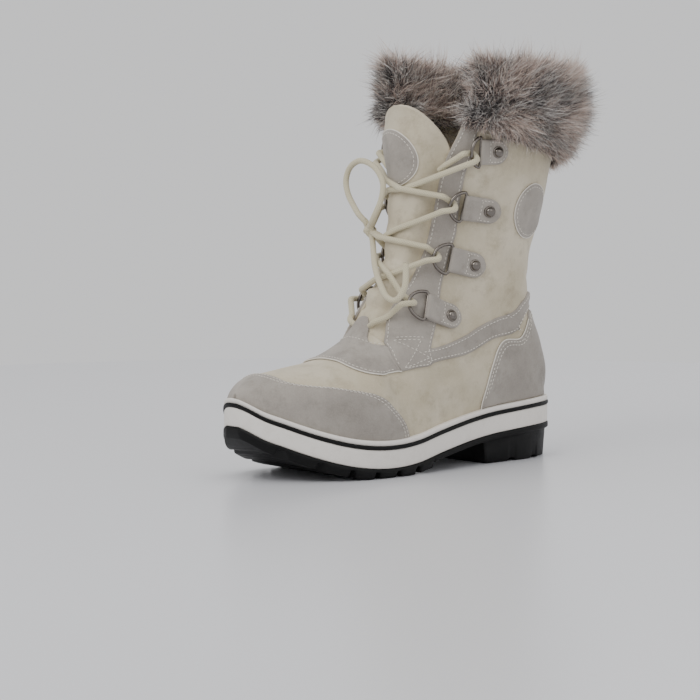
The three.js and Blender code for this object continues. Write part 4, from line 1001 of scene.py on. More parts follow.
def insole():
    grow = -(FEATHER_INSET + WALL + GAP + 0.9)
    q = (1 - np.cos(np.linspace(0, np.pi, 90))) / 2
    j = np.linspace(-1, 1, 25)
    x = centre_line(q)[:, None] + j * half_width(np.where(j >= 0, 1, -1), q[:, None], grow)
    s = np.broadcast_to((-grow + q * (LENGTH + 2 * grow))[:, None], x.shape)
    edge = 1 - np.abs(j)
    z = sole_z(s) + BAND + GAP + 4.0 - 0.9 * (1 - ease(edge / 0.05)) - 0.8 * ease(edge)
    return shell("insole_lining", world(x, s, z), world(x, s, sole_z(s) + BAND + GAP))


dress(insole(), LINING, "lining", "insole")


# Upper: one wall, from the sole's edge to the collar
THROAT_START = THROAT_EDGE[0, 0]


def throat_v(k):
    """v of the throat's edge, or of its lowest point for stations under it."""
    k = np.maximum(k, THROAT_START)
    return v_of(k, curve(THROAT_EDGE, k)[..., 0])


def upper_wall():
    k_rows = np.concatenate([
        np.linspace(0, 2.4, 20)[:-1], np.linspace(2.4, THROAT_START, 52),
        np.linspace(THROAT_START, COLLAR, 150)[1:],
    ])
    f = np.linspace(0, 1, 58)
    centre = np.linspace(0, 1, 22)[1:-1]
    v_rows = []
    for k in k_rows:
        edge = float(throat_v(k))
        v_rows.append(np.concatenate([f * edge, edge + centre * (2 - 2 * edge), (2 - f * edge)[::-1]]))
    v_grid = np.array(v_rows)
    k_grid = np.broadcast_to(k_rows[:, None], v_grid.shape)
    rows, cols = v_grid.shape
    outer = skin(k_grid, v_grid, 0.0)
    inner = skin(k_grid, v_grid, -WALL)
    drop = np.where(k_rows <= FOOT_END, 1.2, 0.0)
    for grid in (outer, inner):
        grid[:, 0, 2] -= drop
        grid[:, -1, 2] -= drop
    n = rows * cols
    m = len(f)
    faces, edges = [], {}

    def face(*ids):
        faces.append(ids)
        for a, b in zip(ids, ids[1:] + ids[:1]):
            edges[(a, b)] = True

    for i, k in enumerate(k_rows[:-1]):
        for j in range(cols - 1):
            if k < THROAT_START - 1e-9 or not m - 1 <= j < cols - m:
                a = i * cols + j
                face(a, a + 1, a + 1 + cols, a + cols)
        if k >= FOOT_END:
            a, b = i * cols + cols - 1, i * cols
            face(a, b, b + cols, a + cols)
    inner_faces = [tuple(x + n for x in ids[::-1]) for ids in faces]
    walls = [(b, a, a + n, b + n) for (a, b) in edges if (b, a) not in edges]
    verts = np.concatenate([outer.reshape(-1, 3), inner.reshape(-1, 3)])
    return weld(make_mesh("upper_leather", verts, faces + inner_faces + walls), 3e-6)


dress(upper_wall(), CREAM, "cream_leather", "upper")

# Overlays
seam = {
    "rand": to_v(clip_line(through(RAND_SEAM))),
    "counter": to_v(through_side(COUNTER_SEAM)),
    "strap_low": to_v(through_side([(9.20, 0.525), *STRAP_LOWER])),
    "strap_high": to_v(through_side([(9.40, 0.640), *STRAP_UPPER])),
    "band": v_line((6.24, 1.0), (6.22, 0.90), (6.28, 0.72), (6.62, 0.607), (7.44, 0.491), (8.23, 0.42)),
}
panels = {}


def overlay(key, name, node, *edges, **settings):
    panels[key] = Panel(name, *edges, **settings)
    dress(panels[key].obj, GREY, "grey_leather", node)


rand_edge = mirrored(seam["rand"][::-1])
rand_toe = np.column_stack([np.zeros(len(rand_edge)), rand_edge[:, 1]])
overlay("rand", "rand_leather", "toe_rand", rand_edge, rand_toe, ends=(False, False))

low_line = seam["strap_low"]
counter_top = low_line[(low_line[:, 0] > 16.0) & (low_line[:, 1] < seam["counter"][-1, 1] - 0.012)]
counter_edge = round_heel(np.concatenate([seam["counter"], counter_top - [0.08, 0]]))
foot_k = np.linspace(COUNTER_SEAM[1][0], FOOT_END, 60)
counter_foot = np.column_stack([foot_k, np.full(len(foot_k), 0.004)])
counter_foot = np.concatenate([counter_foot, (counter_foot * [1, -1])[::-1]])
overlay("counter", "counter_leather", "heel_counter", counter_edge, counter_foot, ends=(False, False))
strap_edges = round_heel(seam["strap_low"]), round_heel(seam["strap_high"])
overlay("strap", "strap_leather", "ankle_strap", *strap_edges, ends=(False, False))

band_rear = v_line(
    (8.22, 0.42), (8.27, 0.55), (8.36, 0.65), (8.14, 0.705), (7.98, 0.764), (8.10, 0.827), (8.50, 0.882),
    (8.86, 0.93), (9.00, 0.965), (9.02, 1.0),
)
overlay("band", "vamp_band_leather", "vamp_band", mirrored(seam["band"][::-1]), mirrored(band_rear))

STAY_TOP = OVER + 0.15
stay_front = through([*STAY_FOOT[::-1], *THROAT_EDGE[:10]])
stay_rear = through([STAY_FOOT[2], *STAY_SOLE, *STAY_REAR])
for side, word in ((1, "lateral"), (-1, "medial")):
    overlay(word, f"eyestay_{word}_leather", f"eyestay_{word}", to_v(stay_front, side), to_v(stay_rear, side),
            top=STAY_TOP)


# Round patches
def round_patch(name, node, surface, radius, top, rim=1.0):
    """A round patch from surface(a, b, height), a and b across it in millimetres."""
    edge = radius - rim * np.array([1, 0.55, 0.25, 0.08, 0])
    radii = np.concatenate([np.linspace(0.001, radius - rim - 0.4, 10), edge])
    turn = np.linspace(0, 2 * np.pi, 72, endpoint=False)
    a = radii[:, None] * np.cos(turn)
    b = radii[:, None] * np.sin(turn)
    u = np.clip((radius - radii) / rim, 0, 1)[:, None]
    height = top * np.sqrt(1 - (1 - u) ** 2) + 0 * a
    outer, inner = surface(a, b, height), surface(a, b, np.full(a.shape, -0.1))
    rows, cols = a.shape
    n = rows * cols
    last = n - cols
    faces = grid_faces(rows, cols, wrap=True) + [f[::-1] for f in grid_faces(rows, cols, n, wrap=True)]
    for j in range(cols):
        onward = last + (j + 1) % cols
        faces.append((onward, last + j, last + j + n, onward + n))
    verts = np.concatenate([outer.reshape(-1, 3), inner.reshape(-1, 3)])
    return dress(weld(make_mesh(name, verts, faces), 3e-6), GREY, "grey_leather", node)


SHAFT_PATCH_AT = (22.03, 0.245)
patch_v = float(v_of(*SHAFT_PATCH_AT))
patch_p, patch_n = base(SHAFT_PATCH_AT[0], patch_v), normal(SHAFT_PATCH_AT[0], patch_v)
patch_up = np.array([0, 0, 1.0]) - patch_n * patch_n[2]
patch_up /= np.linalg.norm(patch_up)
patch_across = np.cross(patch_up, patch_n)


def shaft_surface(a, b, height):
    """The leg's surface beside a point of the patch's own plane, at a height over it."""
    p = patch_p + a[..., None] * patch_across + b[..., None] * patch_up
    k, along = locate(HALF - p[..., 1], p[..., 2])
    return skin(k, v_of(k, along), height)


round_patch("shaft_patch_leather", "shaft_patch", shaft_surface, SHAFT_PATCH_RADIUS, OVER)


# Tongue: station, how far the padding swells out between the flaps
TONGUE_SWELL = np.array([
    [8.4, -2.0], [9.1, -0.6], [9.7, 1.2], [10.7, 2.0], [12.2, 2.8], [13.0, 4.8], [14.3, 5.8], [16.0, 6.2],
    [17.9, 5.2], [19.7, 5.6], [20.9, 6.0], [22.0, 5.0], [23.4, 2.2], [24.8, 0.4], [28.0, -0.6],
])


def tongue_off(k, v):
    """Offset of the tongue's face: under the flaps beside the throat, swelling out between them."""
    tucked = -(WALL + GAP)
    share = np.where(v <= 1, v, 2 - v)
    edge = throat_v(k) + 0.02
    u = np.clip((share - edge) / np.maximum(1 - edge, 1e-6), 0, 1)
    level = tucked * (1 - ease(u * 2.0)) + curve(TONGUE_SWELL, k)[..., 0] * (1 - (1 - u) ** 3)
    return np.where(k < THROAT_START, tucked, level)


# Folds across the tongue: height, slope in degrees, half length, half width, depth (minus is a trough)
TONGUE_FOLDS = [
    (117, 8, 24, 2.4, -3.0), (122.5, -8, 26, 3.0, 2.4), (128.5, 8, 24, 1.9, -3.4), (139, -5, 24, 4.0, 1.6),
    (147, 4, 22, 3.5, -1.3), (172, -7, 20, 4.5, -0.9), (188, 5, 22, 5.0, 0.8), (200, -4, 20, 4.5, -0.7),
]


def tongue_skin(k, v, off):
    p = base(k, v)
    fold = np.zeros(p.shape[:-1])
    for z0, turn, half_length, half_wide, depth in TONGUE_FOLDS:
        t = math.tan(math.radians(turn))
        away = p[..., 2] - z0 - p[..., 0] * t - 2.0 * np.sin(p[..., 0] / 13.0 + z0)
        fold = fold + depth * np.exp(-((away / half_wide) ** 2)) * np.exp(-((p[..., 0] / half_length) ** 4))
    pad = 1.3 * np.exp(-((p[..., 0] / 26.0) ** 4))
    return p + normal(k, v) * (tongue_off(k, v) + np.asarray(off, float) + (fold + pad) * 0.8)[..., None]


collar_top = float(side_place(COLLAR, 1.0)[1])


def tongue(foot=8.0, rows=120, cols=61):
    """The padded tongue, from its foot to a round crown above the collar."""
    crown = collar_top + TONGUE_POINT - 4.0
    half = TONGUE_WIDTH / 2
    shoulder = crown - half * 1.15
    fine = np.linspace(foot, 27.8, 500)
    edge_share = curve(THROAT_EDGE, np.maximum(fine, THROAT_START))[..., 0] - TONGUE_LAP
    edge_v = v_of(fine, np.clip(edge_share, 0.3, 1))
    k_grid, v_grid = np.zeros((rows, cols)), np.zeros((rows, cols))
    shares = spaced(190.0, 1.7)
    shares = np.interp(np.linspace(0, 1, rows), np.linspace(0, 1, len(shares)), shares / shares[-1])
    for j, share in enumerate(np.linspace(-1, 1, cols)):
        v = 1 + share * (edge_v - 1) * -1
        p = base(fine, v)
        arch = shoulder + (crown - shoulder) * np.sqrt(np.clip(1 - (p[:, 0] / half) ** 2, 0, 1))
        past = ~((p[:, 2] <= arch) & (np.abs(p[:, 0]) <= half + 3)) & (fine > 14)
        top = fine[np.argmax(past) if past.any() else -1]
        k_grid[:, j] = foot + (top - foot) * shares
        v_grid[:, j] = np.interp(k_grid[:, j], fine, v)
    edge_j = np.minimum(np.arange(cols), np.arange(cols)[::-1])
    edge_i = np.arange(rows)[::-1, None] * 1.6
    edge = np.minimum(edge_j * 1.2, edge_i)
    plump = np.sqrt(1 - (1 - np.clip(edge / 4.0, 0, 1)) ** 2)
    outer = tongue_skin(k_grid, v_grid, -2.0 * (1 - plump))
    inner = tongue_skin(k_grid, v_grid, -TONGUE_THICKNESS + 2.0 * (1 - plump))
    return shell("tongue_leather", outer, inner)


dress(tongue(), CREAM, "cream_leather", "tongue")
# The tongue's patch: its station, its centre's distance to the outer side, and its thickness
PATCH_STATION, TONGUE_PATCH_SIDE, TONGUE_PATCH_TOP = 19.83, -5.5, 1.1
patch_z = float(side_place(PATCH_STATION, 1.0)[1])


def tongue_surface(a, b, height):
    """The tongue's face under a point at a across and b up from the patch's centre."""
    a = a + TONGUE_PATCH_SIDE
    up = base(PATCH_STATION + 0.5, 1.0) - base(PATCH_STATION - 0.5, 1.0)
    z = patch_z + b * up[2] / np.linalg.norm(up)
    side = np.where(a >= 0, 1, -1)
    low, high = np.full(a.shape, PATCH_STATION - 6.0), np.full(a.shape, PATCH_STATION + 8.0)

    def place_at(k):
        width, n = section(k, side)[5:7]
        angle = np.pi - np.arcsin(np.clip(np.abs(a) / width, 0, 1) ** (n / 2))
        return np.where(a >= 0, angle / np.pi, 2 - angle / np.pi)

    for _ in range(22):
        k = (low + high) / 2
        below = base(k, place_at(k))[..., 2] < z
        low, high = np.where(below, k, low), np.where(below, high, k)
    return tongue_skin(low, place_at(low), height)


round_patch("tongue_patch_leather", "tongue_patch", tongue_surface, TONGUE_PATCH_RADIUS, TONGUE_PATCH_TOP)


# Stitches
def stitch_template(length, width, height):
    """A short thread: a bulged six-sided body between two tips."""
    verts = [(-length / 2, 0, -height * 0.2)]
    for t, r in ((-0.34, 0.8), (0.0, 1.0), (0.34, 0.8)):
        for i in range(6):
            a = math.pi * i / 3
            up = r * height / 2 * math.sin(a) + height * 0.2 * r
            verts.append((t * length, r * width / 2 * math.cos(a), up))
    verts.append((length / 2, 0, -height * 0.2))
    faces = [(0, 1 + (i + 1) % 6, 1 + i) for i in range(6)]
    for ring in (1, 7):
        faces += [(ring + i, ring + (i + 1) % 6, ring + 6 + (i + 1) % 6, ring + 6 + i) for i in range(6)]
    faces += [(19, 13 + i, 13 + (i + 1) % 6) for i in range(6)]
    return np.array(verts), faces


class Thread:
    """Collects stitches for one joined mesh."""

    def __init__(self):
        self.parts = []

    def run(self, points, normals, pitch=3.1, length=2.3, width=0.62, height=0.55, lift=0.05):
        points, normals = np.asarray(points), np.asarray(normals)
        run = run_along(points)
        count = int(run[-1] / pitch)
        at = (np.arange(count) + 0.5) * run[-1] / count
        tangent = unit(at_run(at + 0.6, run, points) - at_run(at - 0.6, run, points))
        up = at_run(at, run, normals)
        up = unit(up - tangent * (up * tangent).sum(1, keepdims=True))
        verts, faces = stitch_template(length, width, height)
        along, across, out = verts[:, :1], verts[:, 1:2], verts[:, 2:] + lift
        for c, t, s, u in zip(at_run(at, run, points), tangent, np.cross(up, tangent), up):
            placed = c + along * t + across * s + out * u
            self.parts.append((placed, faces, np.zeros((len(placed), 2))))

    def on_skin(self, line, off, **kw):
        p = skin(line[:, 0], line[:, 1], off)
        self.run(p, normal(line[:, 0], line[:, 1]), **kw)

    def build(self, name, material, slot):
        verts, faces, _ = join_arrays(self.parts)
        return dress(make_mesh(name, verts, faces), material, slot)


# Corners of the stitched box at an eyestay's foot: station and v
STAY_BOX = [(8.70, 0.640), (9.58, 0.517), (9.42, 0.405), (8.36, 0.432)]
pale = Thread()
for inset in (2.2, 5.0):
    pale.on_skin(panels["rand"].line(inset), OVER)
    pale.on_skin(panels["counter"].line(inset, trim=(4, 4)), OVER)
for second in (False, True):
    pale.on_skin(panels["strap"].line(2.0, second), OVER)
pale.on_skin(panels["band"].line(2.2, trim=(2, 2)), OVER)
pale.on_skin(mirrored(v_line((8.25, 0.68), (7.94, 0.782), (7.84, 0.87), (7.80, 1.0))), OVER)
for word in ("lateral", "medial"):
    for second in (False, True):
        pale.on_skin(panels[word].line(2.2, second, trim=(3, 8)), STAY_TOP)
    box = np.array(STAY_BOX)
    if word == "medial":
        box[:, 1] = 2 - box[:, 1]
    for a, b in ((0, 1), (0, 2), (1, 3), (2, 3)):
        pale.on_skin(v_line(box[a], box[b]), STAY_TOP)
    pale.on_skin(v_line(box[0] + [0.17, 0], box[1] + [0.17, 0]), STAY_TOP)


STITCH_INSET = 2.2


def patch_ring(surface, radius, top, count, closed):
    """Points on a circle over a patch, and the ways up from them."""
    turn = np.linspace(0, 2 * np.pi, count, endpoint=closed)
    a, b = radius * np.cos(turn), radius * np.sin(turn)
    p = surface(a, b, np.full(count, top))
    return p, surface(a, b, np.full(count, top + 1.0)) - p


pale.run(*patch_ring(shaft_surface, SHAFT_PATCH_RADIUS - STITCH_INSET, OVER, 90, True))
pale.run(*patch_ring(tongue_surface, TONGUE_PATCH_RADIUS - STITCH_INSET, TONGUE_PATCH_TOP, 90, True))


def closed_wire(name, line, axis, radius, sides=12):
    n = len(line)
    out = unit(np.cross(unit(np.roll(line, -1, 0) - np.roll(line, 1, 0)), axis))
    angles = np.linspace(0, 2 * np.pi, sides, endpoint=False)[None, :, None]
    rings = line[:, None] + radius * (np.cos(angles) * out[:, None] + np.sin(angles) * axis)
    faces = []
    for i in range(n):
        for j in range(sides):
            here, onward = i * sides, (i + 1) % n * sides
            faces.append((here + j, here + (j + 1) % sides, onward + (j + 1) % sides, onward + j))
    return weld(make_mesh(name, rings, faces))


def patch_piping(name, surface, radius, top):
    p, up = patch_ring(surface, radius + 0.1, top, 120, False)
    dress(closed_wire(name, p, unit(up.mean(0)), 0.45, 8), THREAD, "cord")


def piping(name, line, off=OVER * 0.62, radius=0.48):
    """Pale piping on the skin along a line of (station, v)."""
    p = skin(line[:, 0], line[:, 1], off)
    run = run_along(p)
    at = np.linspace(0, run[-1], int(run[-1] / 1.5))
    dress(make_mesh(name, *tube_arrays(at_run(at, run, p), radius, 8)), THREAD, "cord")


patch_piping("shaft_patch_piping", shaft_surface, SHAFT_PATCH_RADIUS, OVER * 0.55)
patch_piping("tongue_patch_piping", tongue_surface, TONGUE_PATCH_RADIUS, 0.6)
piping("band_piping", resample(mirrored(seam["band"][::-1]), 160)[0])
for side, word in ((1, "lateral"), (-1, "medial")):
    piping(f"counter_piping_{word}", resample(to_v(through_side(COUNTER_SEAM), side), 120)[0])


# Tabs, rings and rivets
def tab_tracks(side):
    """For each tab on a side: a function giving point, normal and direction at a distance past its rivet."""
    k, along, slope = np.array(TABS).T
    start_s, start_z = side_place(k, along)
    lean = np.radians(slope)
    stride = 2.0
    stops = {}

    def look(s, z):
        kk, share = locate(s, z)
        v = v_of(kk, share, side)
        p, n = skin(kk, v), normal(kk, v)
        d = np.stack([0 * lean, -np.cos(lean), np.sin(lean)], -1)
        return p, n, unit(d - n * (d * n).sum(-1, keepdims=True))

    for turn in (1, -1):
        s, z = start_s.copy(), start_z.copy()
        for i in range(18 if turn > 0 else 7):
            stops[i * turn] = look(s, z)
            d = stops[i * turn][2]
            s, z = s - turn * d[:, 1] * stride, z + turn * d[:, 2] * stride
    steps = np.array(sorted(stops))
    tracks = []
    for tab in range(len(TABS)):
        data = [np.array([stops[i][c][tab] for i in steps]) for c in range(3)]

        def walk(distance, data=data):
            p, n, d = [np.array([np.interp(distance, steps * stride, x) for x in c.T]) for c in data]
            return p, unit(n), unit(d)

        tracks.append(walk)
    return tracks


# Each tab, bottom to top: how far it reaches, its ring's depth and how far the ring stands off
TAB_REACHES = [TAB_REACH + d for d in (1.0, 0.6, 0.0, -5.0)]
RING_DEPTHS = [RING_DEPTH + d for d in (3.2, 2.5, 0.3, -2.0)]
STANDOFFS = [RING_STANDOFF + d for d in (-2.4, -2.4, -1.0, 2.2)]
TAB_RIM = 0.8
TAB_TOP = OVER + GAP + TAB_THICKNESS


def make_tab(name, walk, reach):
    """Leather strap folded round the ring's bar: grid over and under, with a round end behind the rivet."""
    bore = RING_WIRE / 2 + GAP
    fold = bore + TAB_THICKNESS * 0.75
    lift = OVER + GAP
    stops = [(-TAB_END * math.cos(a), TAB_END * math.sin(a)) for a in np.radians([8, 25, 42, 58, 74, 90])]
    stops += [(share * reach, TAB_WIDTH / 2) for share in (0.14, 0.34, 0.54, 0.74, 1.0)]
    across = np.linspace(-1, 1, 15)
    outer, inner = [], []
    for distance, half in stops:
        p, n, d = walk(distance)
        w = unit(np.cross(n, d))
        rim = np.clip((1 - np.abs(across)) * half / TAB_RIM, 0, 1)
        if distance < 0:
            rim = np.minimum(rim, np.clip((TAB_END + distance) / TAB_RIM + 0.35, 0, 1))
        height = lift + TAB_THICKNESS * (0.45 + 0.55 * np.sqrt(1 - (1 - rim) ** 2))
        raise_up = ease((distance - 6) / (reach - 6)) * (2 * fold - TAB_THICKNESS - 0.2)
        outer.append(p + (across * half)[:, None] * w + n * (height + raise_up)[:, None])
        inner.append(p + (across * half)[:, None] * w + n * (lift - 0.1))
    p, n, d = walk(reach)
    w = unit(np.cross(n, d))
    centre = p + n * (lift + fold)
    rim = 0.25 * (1 - np.clip((1 - np.abs(across)) * TAB_WIDTH / 2 / TAB_RIM, 0, 1))
    sideways = (across * TAB_WIDTH / 2)[:, None] * w
    for a in np.radians([70, 50, 30, 10, -10, -30, -50, -70, -88]):
        shape = math.cos(a) * d + math.sin(a) * n
        outer.append(centre + (fold - rim)[:, None] * shape + sideways)
        inner.append(centre + bore * 0.9 * shape + sideways)
    return shell(name, np.array(outer), np.array(inner)), centre, w


BAR_OUT = 2.0


def ring_line(walk, centre, w, i):
    """The ring's wire: a straight bar in the fold and a round bow in front of it."""
    p, n, _ = walk(TAB_REACHES[i] + RING_DEPTHS[i])
    e = p + n * STANDOFFS[i] - centre
    e = unit(e - w * (e @ w))
    up = np.cross(e, w)
    _, bar_n, _ = walk(TAB_REACHES[i])
    up = up if up @ bar_n > 0 else -up
    half = RING_HEIGHT / 2 - RING_WIRE / 2
    depth = RING_DEPTHS[i] - RING_WIRE / 2
    flat = [(BAR_OUT, b) for b in np.linspace(-half * 0.86, half * 0.86, 8)]
    for a in np.linspace(84, -84, 32):
        r = math.radians(a)
        flat.append((BAR_OUT + (depth - BAR_OUT) * math.cos(r), half * math.sin(r)))
    flat = np.array(flat)
    return centre + flat[:, :1] * e + flat[:, 1:] * w, e, up


# A rivet's section: share of its radius, share of its height
RIVET_PROFILE = [
    (0.0, -0.3), (1.06, -0.3), (1.08, 0.08), (1.04, 0.18), (0.96, 0.22), (0.90, 0.20), (0.86, 0.26),
    (0.82, 0.44), (0.72, 0.66), (0.56, 0.84), (0.36, 0.95), (0.18, 0.99), (0.0, 1.0),
]


def make_rivet(name, walk, sides=28):
    """Domed head on a thin rolled washer, seated on the tab."""
    p, n, d = walk(0.0)
    seat = p + n * TAB_TOP
    turn = np.linspace(0, 2 * np.pi, sides, endpoint=False)[:, None]
    ring = np.cos(turn) * d + np.sin(turn) * np.cross(n, d)
    rows = [seat + max(a, 0.001) * RIVET_DIAMETER / 2 * ring + n * b * RIVET_HEIGHT for a, b in RIVET_PROFILE]
    return weld(make_mesh(name, np.array(rows), grid_faces(len(rows), sides, wrap=True)), 1.2e-5)


def tab_point(walk, distance, across, lift=0.0):
    """Point and normal on a tab's face, past its rivet and across."""
    p, n, d = walk(distance)
    return p + np.cross(n, d) * across + n * (TAB_TOP + lift), n


def tab_stitches(walk, inset=1.8, straight=(0.0, 6.0, 11.0), seam_at=6.2):
    """A row along the tab's sides and round its end, and one across it."""
    half = TAB_WIDTH / 2 - inset
    spots = [tab_point(walk, distance, -half) for distance in straight[::-1]]
    p, n, d = walk(0.0)
    for a in np.radians(np.linspace(-75, 75, 11)):
        spot = p - d * (TAB_END - inset) * math.cos(a) + np.cross(n, d) * (TAB_END - inset) * math.sin(a)
        spots.append((spot + n * (TAB_TOP - 0.25), n))
    spots += [tab_point(walk, distance, half) for distance in straight]
    cross = [tab_point(walk, seam_at, a * (TAB_WIDTH / 2 - 2.0), 0.1) for a in np.linspace(-1, 1, 9)]
    for row in (spots, cross):
        pale.run(*zip(*row), pitch=2.6, length=1.9, width=0.55, height=0.5)


# The lace round a ring's bow, from under it to over it: place along the bow for a ring and for the top ring,
# place ahead of the bow's wire, and height in turn radii
TURN_RADIUS = RING_WIRE / 2 + LACE / 2 + LACE_ROOM * 0.25
TURN = [
    (5.0, -1.4, 6.0, -0.75), (3.2, -1.0, 1.0, -1.0), (1.6, -1.0, -3.4, -0.72),
    (0.0, -2.8, -TURN_RADIUS - 0.3, 0.0),
    (-1.6, -4.6, -3.0, 0.8), (-3.2, -6.4, 1.0, 1.0), (-5.0, -8.4, 6.0, 0.55),
]


def ring_turn(centre, e, w, up, i):
    bow = RING_DEPTHS[i] - RING_WIRE / 2
    sign = 1 if w[2] > 0 else -1
    points = []
    for along, along_top, ahead, height in TURN:
        b = along_top if i == len(TABS) - 1 else along
        points.append(centre + e * (bow + ahead) + w * b * sign + up * (height * TURN_RADIUS))
    return {"under": points[:3], "through": points[3:4], "over": points[4:]}


turns = {}
for side, word in ((1, "lateral"), (-1, "medial")):
    for i, walk in enumerate(tab_tracks(side)):
        tab, centre, w = make_tab(f"tab_{word}_{i + 1}_leather", walk, TAB_REACHES[i])
        dress(tab, GREY, "grey_leather", f"lace_tab_{word}_{i + 1}")
        line, e, up = ring_line(walk, centre, w, i)
        ring = closed_wire(f"ring_{word}_{i + 1}_wire", line, up, RING_WIRE / 2)
        dress(ring, METAL, "gunmetal", f"d_ring_{word}_{i + 1}")
        dress(make_rivet(f"rivet_{word}_{i + 1}_head", walk), METAL, "gunmetal", f"rivet_{word}_{i + 1}")
        tab_stitches(walk)
        turns[(side, i)] = ring_turn(centre, e, w, up, i)
pale.build("stitching", THREAD, "cord")

# Lace between the rings
LACE_HEIGHT = LACE / 2 + 0.9


def beside(k, along, side, more):
    v = float(v_of(k, along, side))
    return base(k, v) + normal(k, v) * (LACE_HEIGHT + more)


KNOT = np.array([-22.0, HALF - 0.518 * LENGTH, 0.656 * collar_top])
CROSS_AT = ((11.04, 0.918), (13.23, 1.062), (17.12, 0.956))
KNOT_CROSS = 1
# The lace behind the vamp band: station, v and height
BEHIND_BAND = [
    (8.80, 0.845, 3.2), (8.62, 0.90, -0.6), (8.55, 1.0, -2.8), (8.62, 1.10, -0.6), (8.80, 1.155, 3.2),
]
LACE_CLEAR = LACE / 2 + 0.35
lace_parts = []


def resting_surface():
    """What the lace lies on: the tongue between the flaps, and the eyestays beside it."""
    k, v = np.meshgrid(np.linspace(7.0, 27.0, 150), np.linspace(0.3, 1.7, 130), indexing="ij")
    share = np.where(v <= 1, v, 2 - v)
    edge = throat_v(k)
    p = np.where((share > edge)[..., None], tongue_skin(k, v, 0.0), skin(k, v, OVER))
    return BVHTree.FromPolygons([tuple(q) for q in p.reshape(-1, 3)], grid_faces(*k.shape))


rests_on = resting_surface()


FORWARD = np.array([0.0, -1.0, 0.45])


def ahead_of(point):
    """The nearest place of what the lace lies on, and the way out from it."""
    where, out, _, _ = rests_on.find_nearest(Vector(point))
    out = np.array(out)
    return np.array(where), out if out @ FORWARD > 0 else -out


def taut(start, end, rounds=50):
    """A lace pulled tight over the surface between two points."""
    count = max(3, int(np.linalg.norm(end - start) / 2.5))
    line = start + (end - start) * np.linspace(0, 1, count + 1)[:, None]
    for _ in range(rounds):
        line[1:-1] = (line[:-2] + line[2:]) / 2
        for i in range(1, len(line) - 1):
            where, out = ahead_of(line[i])
            clear = (line[i] - where) @ out
            if clear < LACE_CLEAR:
                line[i] += out * (LACE_CLEAR - clear)
    return line[1:-1][::2]


def strand(*stages):
    """A lace through lists of points, pulled tight between one list and the next."""
    path = list(stages[0])
    for stage in stages[1:]:
        path += list(taut(np.array(path[-1]), np.array(stage[0])))
        path += list(stage)
    lace_parts.append(tube_arrays(spline(path, LACE_STEP), LACE / 2))


def crossing(k, v, layer):
    """A place where the lace lies on the tongue, or on another lace."""
    where, out = ahead_of(base(k, v) + normal(k, v) * 9.0)
    return where + out * (LACE_CLEAR + layer * LACE * 0.95)


for side in (1, -1):
    for i, spot in enumerate(CROSS_AT):
        a, b = turns[(side, i)], turns[(-side, i + 1)]
        first = [*a["through"], *a["under"][::-1]]
        last = [*b["over"][::-1], *b["through"]]
        between_rings = [[crossing(*spot, 1 if side > 0 else 0)]]
        if i == KNOT_CROSS:
            between_rings.append([KNOT])
        strand(first, *between_rings[::side], last)
first, last = turns[(1, 0)], turns[(-1, 0)]
base_bar = [base(k, v) + normal(k, v) * off for k, v, off in BEHIND_BAND]
base_bar = [crossing(9.30, 0.776, 0), *base_bar, crossing(9.30, 1.224, 0)]
strand([*first["through"], *first["over"]], base_bar, [*last["over"][::-1], *last["through"]])
for side in (1, -1):
    top = turns[(side, 3)]
    start = [*top["through"], *top["under"][::-1]]
    tuck = [beside(20.6, 0.872, side, 0.3), beside(20.0, 0.897, side, -2.0)]
    strand(start, tuck)


def knot_turns():
    """The lace wound round itself where the bow is tied."""
    other = np.array([0.0, -1.0, 0.15])
    for tilt, reach in ((0.3, 3.2), (1.7, 3.1)):
        across = np.array([math.cos(tilt), 0.0, math.sin(tilt)])
        turn = np.linspace(0, 2 * np.pi, 15)[:, None]
        loop = KNOT + reach * (np.cos(turn) * across + np.sin(turn) * other * 0.8)
        lace_parts.append(tube_arrays(spline(loop, LACE_STEP), LACE / 2))


knot_turns()
for joint, onward in np.array([(BOW[0], BOW[1]), (BOW[-1], BOW[-2]), (END[0], END[1])]):
    lap = [KNOT, (KNOT + joint) / 2 + [-0.6, 0, 0], joint, joint + unit(onward - joint) * 1.6]
    lace_parts.append(tube_arrays(spline(lap, LACE_STEP), LACE * 0.51))
verts, faces, uv = join_arrays(lace_parts)
dress(make_mesh("lace_run", verts, faces, uv), CORD, "cord", "lace_crossings")


# Fur collar: a dark bed with tufts of hair on it
def fur_out(k):
    return np.maximum(1.5, curve(FUR, k)[..., 0] * FUR_OUT)


def fur_in(k):
    return np.maximum(1.0, curve(FUR, k)[..., 1] * (FUR_IN + WALL))


FUR_EDGE = np.array([[24.0, 0.80], [25.2, 0.79], [26.5, 0.77], [29.0, 0.73]])
BED = 0.62


def fur_edge_v(k):
    return v_of(k, np.interp(k, FUR_EDGE[:, 0], FUR_EDGE[:, 1]))


def fur_bed():
    k = np.linspace(24.5, 28.5, 28)[:, None]
    f = np.linspace(-1, 1, 90)
    v = fur_edge_v(k) * f
    taper = np.sqrt(np.clip(1 - np.abs(f) ** 14, 0.02, 1))
    p, n = base(k, v), normal(k, v)
    lumps = 1 + 0.14 * np.sin(k * 5 + v * 9) + 0.1 * np.sin(v * 31)
    outer = p + n * (fur_out(k) * BED * taper * lumps)[..., None]
    inner = p - n * (np.maximum(0.4, fur_in(k) * BED * taper))[..., None]
    return shell("fur_bed", outer, inner)


dress(fur_bed(), UNDERFUR, "fur", "fur_collar")


